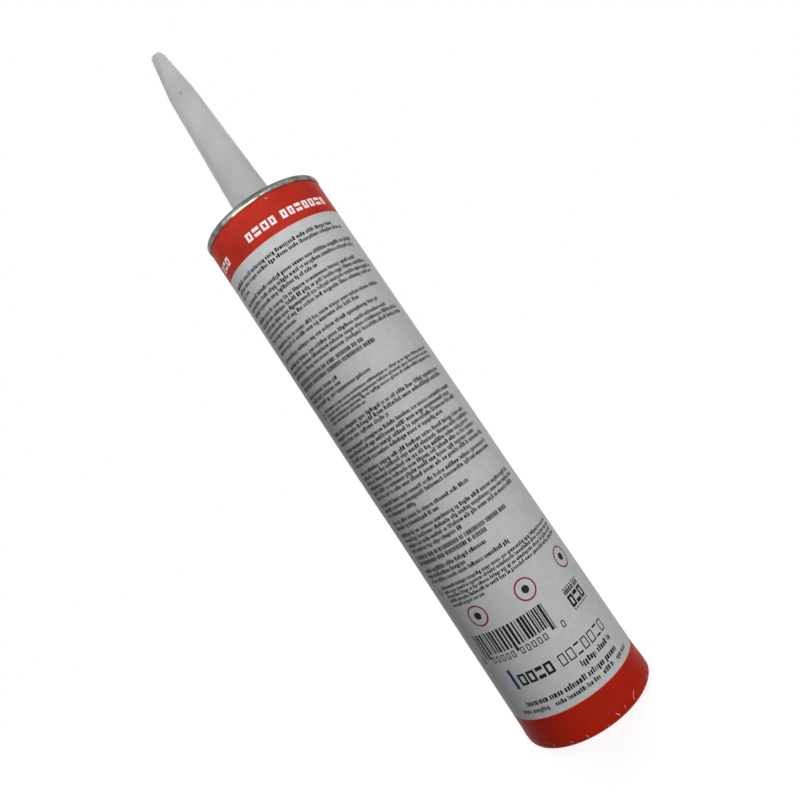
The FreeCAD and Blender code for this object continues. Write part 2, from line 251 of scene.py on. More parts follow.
def skinned_mesh(name: str, grid: Array, poles: Array | None = None) -> bpy.types.Mesh:
    """Skins a grid of points into a closed surface whose columns go once round.

    Each point is joined to the next in its row and in its column. The last row joins the first, or
    with poles given, the first and last row each close in a fan on a pole.

    Args:
        name: the mesh's name.
        grid: array of rows by columns by x, y, z, with rows that run anticlockwise in the
            radius-height plane, so that the faces point outwards.
        poles: two points, for the first row and the last.

    Returns:
        The mesh.
    """
    rows, columns = grid.shape[:2]
    number = np.arange(rows * columns).reshape(rows, columns)
    above = np.roll(number, -1, axis=0)
    quads = np.stack([number, np.roll(number, -1, axis=1), np.roll(above, -1, axis=1), above], axis=-1)
    points = grid.reshape(-1, 3)
    if poles is None:
        return mesh_from(name, points, [quads.reshape(-1, 4)])
    first, last = np.full(columns, len(points)), np.full(columns, len(points) + 1)
    beside = np.roll(number, -1, axis=1)
    fans = [np.stack([first, beside[0], number[0]], axis=-1), np.stack([number[-1], beside[-1], last], axis=-1)]
    return mesh_from(name, np.vstack([points, poles]), [quads[:-1].reshape(-1, 4), *fans])


def turned_mesh(name: str, profile: Array, angles: Array, warp: Warp | None = None) -> bpy.types.Mesh:
    """Turns an outline about the axis into a closed surface.

    The outline either closes on itself, or starts and ends on the axis, where each end becomes one
    vertex in a fan.

    Args:
        name: the mesh's name.
        profile: rows of radius and height in millimetres.
        angles: the angles of the columns in radians.
        warp: gives the changed radius and height from radius, angle and height.

    Returns:
        The mesh.
    """
    on_axis = profile[:, 0] < 1e-9
    grid = turned_grid(profile[~on_axis], angles, warp)
    if not on_axis.any():
        return skinned_mesh(name, grid)
    poles = turned_grid(profile[[0, -1]], np.zeros(1), warp)[:, 0]
    return skinned_mesh(name, grid, poles)


def new_piece(name: str, mesh: bpy.types.Mesh, material: bpy.types.Material, body: str) -> Any:
    """Makes the mesh an object that rides on a body and takes its finish from a material slot.

    Args:
        name: the object's name.
        mesh: its mesh, already in place.
        material: its material.
        body: the body that it moves with.

    Returns:
        The object.
    """
    mesh.materials.append(material)
    piece = bpy.data.objects.new(name, mesh)
    bpy.context.scene.collection.objects.link(piece)
    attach(piece, body)
    log.info("%s: %d vertices, %d faces, on %s", name, len(mesh.vertices), len(mesh.polygons), body)
    return piece


def add_node(tree: Any, kind: str, settings: dict | None = None, values: dict | None = None,
             links: dict | None = None) -> Any:
    """Adds one shader node.

    Args:
        tree: the node tree.
        kind: the node's type name.
        settings: attributes to set on the node.
        values: input name or number to its constant.
        links: input name or number to the output socket that feeds it.

    Returns:
        The node.
    """
    node = tree.nodes.new(kind)
    for key, value in (settings or {}).items():
        setattr(node, key, value)
    for key, value in (values or {}).items():
        node.inputs[key].default_value = value
    for key, socket in (links or {}).items():
        tree.links.new(socket, node.inputs[key])
    return node


def new_material(name: str) -> tuple[bpy.types.Material, Any, Any]:
    """Makes a material. Returns it, its node tree and its Principled shader."""
    material = bpy.data.materials.new(name)
    material.use_nodes = True
    tree = material.node_tree
    return material, tree, tree.nodes["Principled BSDF"]


def noise_at(tree: Any, coordinates: Any, size_mm: float, detail: float = 3.0, roughness: float = 0.55) -> Any:
    """Adds noise whose blotches are about size_mm across, and returns its value output."""
    scale = 1.0 / (size_mm * MM)
    return add_node(tree, "ShaderNodeTexNoise",
                    values={"Scale": scale, "Detail": detail, "Roughness": roughness},
                    links={"Vector": coordinates}).outputs["Fac"]


def ranged(tree: Any, value: Any, low: float, high: float, to_low: float, to_high: float) -> Any:
    """Maps a value between low and high to between to_low and to_high, held at both ends."""
    return add_node(tree, "ShaderNodeMapRange", settings={"clamp": True},
                    values={"From Min": low, "From Max": high, "To Min": to_low, "To Max": to_high},
                    links={"Value": value}).outputs["Result"]


def mixed(tree: Any, share: Any, first: Any, second: Any) -> Any:
    """Mixes two colours, each a constant or a socket, by a share that is a socket."""
    values, links = {}, {"Factor": share}
    for name, colour in (("A", first), ("B", second)):
        if isinstance(colour, tuple):
            values[name] = colour
        else:
            links[name] = colour
    node = tree.nodes.new("ShaderNodeMix")
    node.data_type = "RGBA"
    sockets = {"Factor": node.inputs[0], "A": node.inputs[6], "B": node.inputs[7]}
    for name, value in values.items():
        sockets[name].default_value = value
    for name, socket in links.items():
        tree.links.new(socket, sockets[name])
    return node.outputs[2]


def computed(tree: Any, operation: str, *operands: Any) -> Any:
    """Adds a Math node of sockets and numbers, and returns its output."""
    node = add_node(tree, "ShaderNodeMath", settings={"operation": operation})
    for index, operand in enumerate(operands):
        if isinstance(operand, (int, float)):
            node.inputs[index].default_value = operand
        else:
            tree.links.new(operand, node.inputs[index])
    return node.outputs[0]


def bumped(tree: Any, shader: Any, height: Any, depth_mm: float, strength: float = 1.0) -> None:
    """Feeds the shader a bump from a height value that stands for depth_mm."""
    bump = add_node(tree, "ShaderNodeBump", values={"Strength": strength, "Distance": depth_mm * MM},
                    links={"Height": height})
    tree.links.new(bump.outputs["Normal"], shader.inputs["Normal"])


@dataclass(frozen=True)
class CoatedPaper:
    """Clay-coated label paper, gravure printed in silver grey with a red band at each end.

    The coating gives a soft satin sheen with a faint orange peel, and the board's winding under it a
    slow mottle.
    """

    grey: str = "C5C6C7"
    grey_shade: str = "BEBFC1"
    front_red: str = "B43022"
    rear_red: str = "B02413"
    red_shade: str = "931C11"
    edge_pink: str = "CF8A80"
    rear_band_top: float = 11.85
    front_band_foot: float = 199.37
    edge_line: float = 0.2
    mottle_mm: float = 2.4
    grain_mm: float = 0.8
    grain_depth_mm: float = 0.012

    def material(self) -> bpy.types.Material:
        """Makes the material. Height along the tube picks the band, with a thin line at its edge."""
        material, tree, shader = new_material("coated_label_paper")
        place = add_node(tree, "ShaderNodeTexCoord").outputs["Object"]
        height = add_node(tree, "ShaderNodeSeparateXYZ", links={"Vector": place}).outputs["Z"]
        mottle = noise_at(tree, place, self.mottle_mm)
        grain = noise_at(tree, place, self.grain_mm, detail=2.0)
        grey = mixed(tree, ranged(tree, mottle, 0.35, 0.65, 0.0, 1.0),
                     linear_colour(self.grey_shade), linear_colour(self.grey))
        rear, front = self.rear_band_top * MM, self.front_band_foot * MM
        line = self.edge_line * MM
        in_rear = computed(tree, "LESS_THAN", height, rear)
        in_front = computed(tree, "GREATER_THAN", height, front)
        in_band = computed(tree, "MAXIMUM", in_rear, in_front)
        near_rear = computed(tree, "LESS_THAN", height, rear + line)
        near_front = computed(tree, "GREATER_THAN", height, front - line)
        near_band = computed(tree, "MAXIMUM", near_rear, near_front)
        clear_red = mixed(tree, in_front, linear_colour(self.rear_red), linear_colour(self.front_red))
        blotch = noise_at(tree, place, self.mottle_mm * 4.0)
        red = mixed(tree, ranged(tree, blotch, 0.45, 0.75, 0.0, 0.5), clear_red, linear_colour(self.red_shade))
        outside = mixed(tree, near_band, grey, linear_colour(self.edge_pink))
        tree.links.new(mixed(tree, in_band, outside, red), shader.inputs["Base Color"])
        gloss = ranged(tree, mottle, 0.3, 0.7, 0.38, 0.46)
        tree.links.new(gloss, shader.inputs["Roughness"])
        shader.inputs["Specular IOR Level"].default_value = 0.04
        bumped(tree, shader, grain, self.grain_depth_mm)
        return material


@dataclass(frozen=True)
class PrintInk:
    """Gravure ink on coated paper. It is thin and dries to a satin film, a little uneven in tone."""

    ink: Ink
    dark: str
    light: str
    patch_mm: float = 0.8

    def material(self) -> bpy.types.Material:
        """Makes the material: two close tones mixed by fine noise."""
        material, tree, shader = new_material(f"{self.ink.value}_print_ink")
        place = add_node(tree, "ShaderNodeTexCoord").outputs["Object"]
        tone = ranged(tree, noise_at(tree, place, self.patch_mm), 0.35, 0.65, 0.0, 1.0)
        colour = mixed(tree, tone, linear_colour(self.dark), linear_colour(self.light))
        tree.links.new(colour, shader.inputs["Base Color"])
        shader.inputs["Roughness"].default_value = 0.5
        shader.inputs["Specular IOR Level"].default_value = 0.1
        return material


@dataclass(frozen=True)
class WornPaper:
    """Bare paper fibre where the print has cracked off the rolled edge. It is dull and off-white."""

    pale: str = "E2C6BD"
    dirty: str = "C4857A"
    fibre_mm: float = 0.25

    def material(self) -> bpy.types.Material:
        """Makes the material: pale fibre with red ink left in it."""
        material, tree, shader = new_material("worn_paper_fibre")
        place = add_node(tree, "ShaderNodeTexCoord").outputs["Object"]
        fibres = noise_at(tree, place, self.fibre_mm)
        colour = mixed(tree, ranged(tree, fibres, 0.35, 0.65, 0.0, 1.0),
                       linear_colour(self.dirty), linear_colour(self.pale))
        tree.links.new(colour, shader.inputs["Base Color"])
        shader.inputs["Roughness"].default_value = 0.8
        bumped(tree, shader, fibres, 0.02)
        return material


@dataclass(frozen=True)
class WoundBoard:
    """Spiral-wound recycled grey-brown board. It is matt, with short fibres and faint plies."""

    light: str = "9A8468"
    dark: str = "6F5C45"
    fibre_mm: float = 0.5
    ply_mm: float = 0.3

    def material(self) -> bpy.types.Material:
        """Makes the material: fibres stretched round the tube, with specks."""
        material, tree, shader = new_material("wound_greyboard")
        place = add_node(tree, "ShaderNodeTexCoord").outputs["Object"]
        fine = noise_at(tree, place, self.fibre_mm, detail=5.0)
        broad = noise_at(tree, place, self.fibre_mm * 12.0)
        tone = computed(tree, "ADD", computed(tree, "MULTIPLY", fine, 0.6), computed(tree, "MULTIPLY", broad, 0.4))
        colour = mixed(tree, ranged(tree, tone, 0.35, 0.65, 0.0, 1.0),
                       linear_colour(self.dark), linear_colour(self.light))
        tree.links.new(colour, shader.inputs["Base Color"])
        shader.inputs["Roughness"].default_value = 0.85
        bumped(tree, shader, fine, self.ply_mm * 0.15)
        return material


@dataclass(frozen=True)
class TarnishedTinplate:
    """Cold-rolled tinplate, stamped and crimped. Tin dulls to a patchy grey; one worn stretch is painted bright as
    a highlight, the skirt's foot by the hem is painted dark as shade, and the crest is painted dark as a
    reflection.
    """

    # The bright colour is the worn patch on the seam, painted as a highlight.
    bright: str = "F2EFE4"
    grey: str = "7E7F79"
    dull: str = "5B5C57"
    sheltered: str = "A2A39C"
    # The stain colour darkens real scuffs, and also paints the shade by the hem and the dark reflection by the
    # crest.
    stain_and_painted_shade: str = "2A2A28"
    patch_mm: float = 4.0
    scuff_mm: float = 0.9
    # Middle, full-strength radius, fade radius and half height of the worn patch that carries the painted
    # highlight.
    rubbed_highlight_place: tuple[float, float, float] = (-3.6, -24.9, 213.9)
    rubbed_highlight_core: float = 4.0
    rubbed_highlight_reach: float = 7.5
    rubbed_highlight_half_height: float = 0.45
    # Painted shade: below this height the skirt darkens, where the hem meets the wrap.
    hem_painted_shade_top: float = 213.7
    # Painted dark reflection: above this height the seam darkens.
    crest_height: float = 215.5
    # Over this depth the painted shade by the hem and the painted dark reflection by the crest fade out.
    painted_dark_depth: float = 0.4
    skirt_inside: float = 24.0

    def material(self) -> bpy.types.Material:
        """Makes the material: patches of tarnish, scuffs, a painted highlight on one worn stretch, painted shade by
        the hem and a painted dark reflection by the crest.
        """
        material, tree, shader = new_material("tarnished_tinplate")
        place = add_node(tree, "ShaderNodeTexCoord").outputs["Object"]
        height = add_node(tree, "ShaderNodeSeparateXYZ", links={"Vector": place}).outputs["Z"]
        patch = noise_at(tree, place, self.patch_mm, detail=4.0)
        scuff = noise_at(tree, place, self.scuff_mm, detail=4.0)
        tarnish = mixed(tree, ranged(tree, patch, 0.42, 0.6, 0.0, 1.0),
                        linear_colour(self.dull), linear_colour(self.grey))
        # Painted highlight: a worn stretch of the seam is mixed towards the bright colour, broken up by the tarnish
        # patches.
        away = add_node(tree, "ShaderNodeVectorMath", settings={"operation": "DISTANCE"},
                        values={1: tuple(c * MM for c in self.rubbed_highlight_place)}, links={0: place})
        beside = ranged(tree, away.outputs["Value"], self.rubbed_highlight_core * MM, self.rubbed_highlight_reach * MM, 1.0, 0.0)
        off = computed(tree, "ABSOLUTE", computed(tree, "SUBTRACT", height, self.rubbed_highlight_place[2] * MM))
        level = ranged(tree, off, self.rubbed_highlight_half_height * MM, self.rubbed_highlight_half_height * 2.0 * MM, 1.0, 0.0)
        rubbed_highlight_mask = computed(tree, "MULTIPLY", computed(tree, "MULTIPLY", beside, level), patch)
        with_rubbed_highlight = mixed(tree, ranged(tree, rubbed_highlight_mask, 0.16, 0.42, 0.0, 1.0), tarnish, linear_colour(self.bright))
        depth = self.painted_dark_depth * MM
        flat = add_node(tree, "ShaderNodeVectorMath", settings={"operation": "MULTIPLY"},
                        values={1: (1.0, 1.0, 0.0)}, links={0: place}).outputs["Vector"]
        radius = add_node(tree, "ShaderNodeVectorMath", settings={"operation": "LENGTH"}, links={0: flat})
        outside = ranged(tree, radius.outputs["Value"], self.skirt_inside * MM, (self.skirt_inside + 0.5) * MM, 0.0, 1.0)
        panel = mixed(tree, ranged(tree, patch, 0.3, 0.7, 0.0, 1.0), linear_colour(self.grey), linear_colour(self.sheltered))
        base = mixed(tree, outside, panel, with_rubbed_highlight)
        # Painted shade along the skirt's foot by the hem, outside the skirt only.
        low = ranged(tree, height, self.hem_painted_shade_top * MM, self.hem_painted_shade_top * MM + depth, 0.95, 0.0)
        hem_painted_shade = computed(tree, "MULTIPLY", low, outside)
        # Painted dark reflection along the seam's crest.
        crest_dark_reflection = ranged(tree, height, self.crest_height * MM, self.crest_height * MM + depth, 0.0, 0.8)
        scuffed = ranged(tree, scuff, 0.53, 0.66, 0.0, 0.75)
        # This mask joins real scuffs with the painted shade by the hem and the painted dark reflection by the
        # crest.
        dirty = computed(tree, "MAXIMUM", computed(tree, "MAXIMUM", hem_painted_shade, crest_dark_reflection), scuffed)
        tree.links.new(mixed(tree, dirty, base, linear_colour(self.stain_and_painted_shade)), shader.inputs["Base Color"])
        tree.links.new(ranged(tree, scuff, 0.3, 0.7, 0.26, 0.48), shader.inputs["Roughness"])
        shader.inputs["Metallic"].default_value = 1.0
        bumped(tree, shader, scuff, 0.02)
        return material


@dataclass(frozen=True)
class DrawnTinplate:
    """Bright drawn tinplate of the plunger, with fine rings left by the tool."""

    bright: str = "D2D1CB"
    dull: str = "A9A8A2"
    ring_mm: float = 0.5

    def material(self) -> bpy.types.Material:
        """Makes the material: concentric tool rings about the axis on satin metal."""
        material, tree, shader = new_material("drawn_tinplate")
        place = add_node(tree, "ShaderNodeTexCoord").outputs["Object"]
        rings = add_node(tree, "ShaderNodeTexWave",
                         settings={"wave_type": "RINGS", "rings_direction": "Z"},
                         values={"Scale": 1.0 / (self.ring_mm * MM) / 20.0, "Distortion": 1.5, "Detail": 3.0},
                         links={"Vector": place}).outputs["Fac"]
        colour = mixed(tree, rings, linear_colour(self.dull), linear_colour(self.bright))
        tree.links.new(colour, shader.inputs["Base Color"])
        shader.inputs["Metallic"].default_value = 1.0
        shader.inputs["Roughness"].default_value = 0.32
        bumped(tree, shader, rings, 0.01)
        return material


@dataclass(frozen=True)
class MouldedPolyethylene:
    """Injection-moulded polyethylene with grey pigment. Light spreads in it, so that it looks even and waxy."""

    body: str = "B6B8BA"
    shade: str = "B0B2B4"
    speck: str = "7F818C"
    flow_mm: float = 9.0
    skin_mm: float = 0.5
    scatter_mm: float = 12.0
    speck_place: tuple[float, float, float] = (0.24, -5.58, 274.1)
    speck_radius: float = 1.25

    def material(self) -> bpy.types.Material:
        """Makes the material: slow tone changes of the melt, a waxy skin and one dark speck in the wall."""
        material, tree, shader = new_material("moulded_polyethylene")
        place = add_node(tree, "ShaderNodeTexCoord").outputs["Object"]
        flow = noise_at(tree, place, self.flow_mm, detail=2.0)
        skin = noise_at(tree, place, self.skin_mm, detail=3.0)
        colour = mixed(tree, ranged(tree, flow, 0.35, 0.65, 0.0, 1.0),
                       linear_colour(self.shade), linear_colour(self.body))
        away = add_node(tree, "ShaderNodeVectorMath", settings={"operation": "DISTANCE"},
                        values={1: tuple(c * MM for c in self.speck_place)}, links={0: place})
        near = ranged(tree, away.outputs["Value"], 0.2 * self.speck_radius * MM, self.speck_radius * MM, 0.7, 0.0)
        tree.links.new(mixed(tree, near, colour, linear_colour(self.speck)), shader.inputs["Base Color"])
        shader.inputs["Roughness"].default_value = 0.5
        shader.inputs["IOR"].default_value = 1.51
        shader.inputs["Specular IOR Level"].default_value = 0.15
        shader.inputs["Subsurface Weight"].default_value = 1.0
        shader.inputs["Subsurface Radius"].default_value = (1.0, 1.0, 1.0)
        shader.inputs["Subsurface Scale"].default_value = self.scatter_mm * MM
        bumped(tree, shader, skin, 0.006)
        return material


@dataclass(frozen=True)
class SoftFoil:
    """Annealed aluminium foil, heat sealed. It is bright and creased at a millimetre scale."""

    bright: str = "D8D9DA"
    dull: str = "B4B5B6"
    crease_mm: float = 1.6

    def material(self) -> bpy.types.Material:
        """Makes the material: creased bright metal."""
        material, tree, shader = new_material("annealed_foil")
        place = add_node(tree, "ShaderNodeTexCoord").outputs["Object"]
        crease = noise_at(tree, place, self.crease_mm, detail=4.0)
        colour = mixed(tree, crease, linear_colour(self.dull), linear_colour(self.bright))
        tree.links.new(colour, shader.inputs["Base Color"])
        shader.inputs["Metallic"].default_value = 1.0
        shader.inputs["Roughness"].default_value = 0.28
        bumped(tree, shader, crease, 0.05)
        return material


@dataclass(frozen=True)
class SealantPaste:
    """Uncured polymer paste. It is smooth, glossy and even, with slow folds from the filling head."""

    light: str = "9B9C9D"
    dark: str = "85868A"
    fold_mm: float = 8.0

    def material(self) -> bpy.types.Material:
        """Makes the material: an even wet paste."""
        material, tree, shader = new_material("sealant_paste")
        place = add_node(tree, "ShaderNodeTexCoord").outputs["Object"]
        folds = noise_at(tree, place, self.fold_mm)
        colour = mixed(tree, folds, linear_colour(self.dark), linear_colour(self.light))
        tree.links.new(colour, shader.inputs["Base Color"])
        shader.inputs["Roughness"].default_value = 0.25
        bumped(tree, shader, folds, 0.3)
        return material


@dataclass
class WallSurface:
    """The wrap's outer surface, which the print and the wear follow."""

    radius: float
    rim_height: float
    thickness: float = 0.15
    roll_radius: float = 2.0
    rear_bead_height: float = 3.8
    rear_bead_width: float = 1.4
    rear_bead_rise: float = 0.15
    seam_height: float = 2.4
    neck_depth: float = 0.3
    neck_length: float = 0.9
    crimp_drop: float = 0.8
    ripple: float = 0.018
    lap_width: float = 6.0
    flare: float = 0.3
    widest_rise: float = 0.31
    flare_start: float = 20.0
    flare_full: float = 70.0
    flare_end: float = 150.0
    edge_ripple: float = 0.035

    @property
    def roll_centre(self) -> float:
        """Radius of the centre that the rear edge rolls about."""
        return self.radius - self.thickness - self.roll_radius

    @property
    def neck_foot(self) -> float:
        """Height where the wall starts to neck in under the crimp."""
        return self.rim_height - self.seam_height - self.neck_length

    @property
    def lap_half_angle(self) -> float:
        """Half the lap's angle at the back, in radians."""
        return self.lap_width / self.radius / 2.0

    def radius_at(self, angle: Array, height: Array) -> Array:
        """Outer radius at an angle and height, in millimetres.

        It is the barrel's radius, plus a cosine hump for the rear bead, minus a smooth neck under the
        crimp, plus a slow ripple of the wound board and the lap's rise at the back. Below the roll's
        centre it follows the roll: the centre's radius plus the square root of the roll's outer
        radius squared minus the drop squared.

        Args:
            angle: angles in radians.
            height: heights in millimetres, of the same shape.

        Returns:
            The radii.
        """
        from_bead = np.clip((height - self.rear_bead_height) / self.rear_bead_width, -1.0, 1.0)
        bead = self.rear_bead_rise * 0.5 * (1.0 + np.cos(math.pi * from_bead))
        hem = self.rim_height - self.seam_height
        neck = self.neck_depth * smooth_step(height, self.neck_foot, hem)
        neck = neck - self.neck_depth * smooth_step(height, hem + 0.3, hem + self.crimp_drop)
        slow = wobble(angle + height * 0.012, seed=5, orders=6)
        faster = wobble(angle * 1.0, seed=9, orders=9, lowest=3) * np.cos(height * 0.07)
        fade = smooth_step(height, self.roll_radius, 12.0)
        ripple = self.ripple * (0.6 * slow + 0.4 * faster) * fade
        outer_roll = self.roll_radius + self.thickness
        drop = np.clip(self.roll_radius - height, 0.0, outer_roll)
        rolled = np.sqrt(np.maximum(outer_roll**2 - drop**2, 0.0)) - outer_roll
        risen = bead + self.lap_rise(angle, height) + self.rear_push(angle, height)
        return self.radius + np.minimum(risen, self.widest_rise) - neck + ripple + rolled

    def rear_push(self, angle: Array, height: Array) -> Array:
        """How far the damaged rear edge stands out.

        On one side the wall is flared: its share grows from 0 at flare_start to 1 at flare_full and
        falls to 0 at flare_end, and with height it comes in over the roll and fades by 9 mm. All
        round, a short seeded ripple creases the roll and fades by 4 mm.

        Args:
            angle: angles in radians.
            height: heights in millimetres, of the same shape.

        Returns:
            Millimetres outwards.
        """
        degrees = np.degrees((angle + math.pi) % FULL_TURN - math.pi)
        share = smooth_step(degrees, self.flare_start, self.flare_full)
        share = share * (1.0 - smooth_step(degrees, self.flare_full + 30.0, self.flare_end))
        reach = smooth_step(height, 0.2, 1.6) * (1.0 - smooth_step(height, 4.5, 9.0))
        creases = wobble(angle, seed=17, orders=16, lowest=9) * smooth_step(height, 0.1, 0.9)
        return self.flare * share * reach + self.edge_ripple * creases * (1.0 - smooth_step(height, 1.5, 4.0))

    def lap_rise(self, angle: Array, height: Array) -> Array:
        """How far the lap at the back lifts the surface: a slow ramp on one side and a step on the other."""
        off = (angle % FULL_TURN) - math.pi
        half = self.lap_half_angle
        ramp = smooth_step(off, -half, -half * 0.4) * (off < half)
        reach = smooth_step(height, self.rear_bead_height + 2.0, self.rear_bead_height + 3.0)
        reach = reach * (1.0 - smooth_step(height, self.neck_foot - 1.0, self.neck_foot))
        return self.thickness * ramp * reach

    def place(self, angle: Array, height: Array, proud: Array | float) -> Array:
        """Points on the surface, moved outwards by proud millimetres."""
        radius = self.radius_at(angle, height) + proud
        return np.stack([radius * np.sin(angle), -radius * np.cos(angle), height], axis=-1)


@dataclass
class BoardTube:
    """The wound board tube with its rear edge rolled in to a lip."""

    wall_surface: WallSurface
    wall: float = 1.0
    rear_flat: float = 0.5
    turn_radius: float = 1.5
    lip_height: float = 4.5
    skin_gap: float = 0.06
    pleat_depth: float = 0.07
    pleats: int = 26
    columns: int = 288

    def profile(self) -> Array:
        """The tube's closed outline: up the outside, across the front, down the bore and round the roll."""
        face = self.wall_surface
        outer = face.radius - face.thickness - self.skin_gap
        bore = face.radius - face.thickness - self.wall
        roll = face.roll_radius
        turn, turned = face.roll_centre - self.rear_flat, self.turn_radius
        throat = turn - turned
        top = face.rim_height - 1.0
        neck = face.neck_depth
        hem = face.rim_height - face.seam_height
        inner_roll = roll - self.wall
        return profile_of(
            arc((turn, turned), turned, 180.0, 270.0, 12),
            arc((face.roll_centre, roll), roll, 270.0, 360.0, 12)[:-1],
            (outer, roll + 0.3),
            (outer, face.neck_foot),
            (outer - neck, hem),
            (outer - neck, hem + 0.3),
            (outer - neck, top),
            (bore, top),
            arc((face.roll_centre, roll), inner_roll, 360.0, 270.0, 5),
            arc((turn, turned), turned - self.wall, 270.0, 180.0, 5),
            (throat + self.wall, self.lip_height - 0.2),
            (throat + self.wall - 0.2, self.lip_height),
            (throat + 0.2, self.lip_height),
            (throat, self.lip_height - 0.2),
            longest=18.0,
        )

    def pleated(self, radius: Array, angle: Array, height: Array) -> tuple[Array, Array]:
        """Creases the rolled lip by a seeded ripple that fades outwards, and flares the wall with the wrap."""
        face = self.wall_surface
        throat = face.roll_centre - self.rear_flat - self.turn_radius
        inward = 1.0 - smooth_step(radius, throat + self.wall, face.roll_centre)
        inward = inward * (height < self.lip_height + 0.1)
        outward = smooth_step(radius, face.roll_centre, face.roll_centre + self.wall)
        ripple = wobble(angle, seed=21, orders=self.pleats, lowest=7)
        return radius + self.pleat_depth * ripple * inward + face.rear_push(angle, height) * outward, height

    def build(self, finish: WoundBoard) -> None:
        """Adds the tube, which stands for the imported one."""
        mesh = turned_mesh("board_tube", self.profile(), even_angles(self.columns), self.pleated)
        piece = new_piece("board_tube", mesh, finish.material(), CARTRIDGE)
        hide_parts("barrel_tube")


@dataclass
class PrintedWrap:
    """The printed paper wrap round the tube."""

    wall_surface: WallSurface
    edge_angle: float = 60.0
    row_pitch: float = 2.6
    columns: int = 300

    def build(self, finish: CoatedPaper) -> None:
        """Adds the wrap. Its inside is the outside less the paper's thickness."""
        face = self.wall_surface
        lowest = face.roll_radius - (face.roll_radius + face.thickness) * math.sin(math.radians(self.edge_angle))
        roll = np.linspace(lowest, face.roll_radius, 9)
        bead = np.linspace(face.roll_radius, face.rear_bead_height + face.rear_bead_width, 19)[1:]
        barrel = np.arange(bead[-1] + self.row_pitch, face.neck_foot - 0.5, self.row_pitch)
        neck = np.linspace(face.neck_foot, face.rim_height - 1.0, 15)
        heights = np.r_[roll, bead, barrel, neck]
        outside = np.stack([np.full_like(heights, 1.0), heights], axis=1)
        inside = np.stack([np.full_like(heights, 0.5), heights], axis=1)[::-1]
        step = math.degrees(face.lap_half_angle)
        angles = even_angles(self.columns, (180.0 + step - 0.02, 180.0 + step + 0.02, 180.0 - step))

        def skin(radius: Array, angle: Array, height: Array) -> tuple[Array, Array]:
            """Puts rows marked 1 on the outer surface and rows marked 0.5 one thickness inside it."""
            outer = face.radius_at(angle, height)
            return np.where(radius > 0.75, outer, outer - face.thickness), height

        mesh = turned_mesh("wrap", np.vstack([outside, inside]), angles, skin)
        piece = new_piece("wrap", mesh, finish.material(), CARTRIDGE)
        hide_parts("printed_label")


@dataclass(frozen=True)
class Paragraph:
    """A block of greeked lines: its first line's height, and where each line ends along the wall."""

    top: float
    ends: tuple[float, ...]
    lead: float = 0.0
    pitch: float = 2.13
    indent: float = 0.0
    size: float = 1.0
    capitals: bool = False


Span = tuple[float, float, float, float]


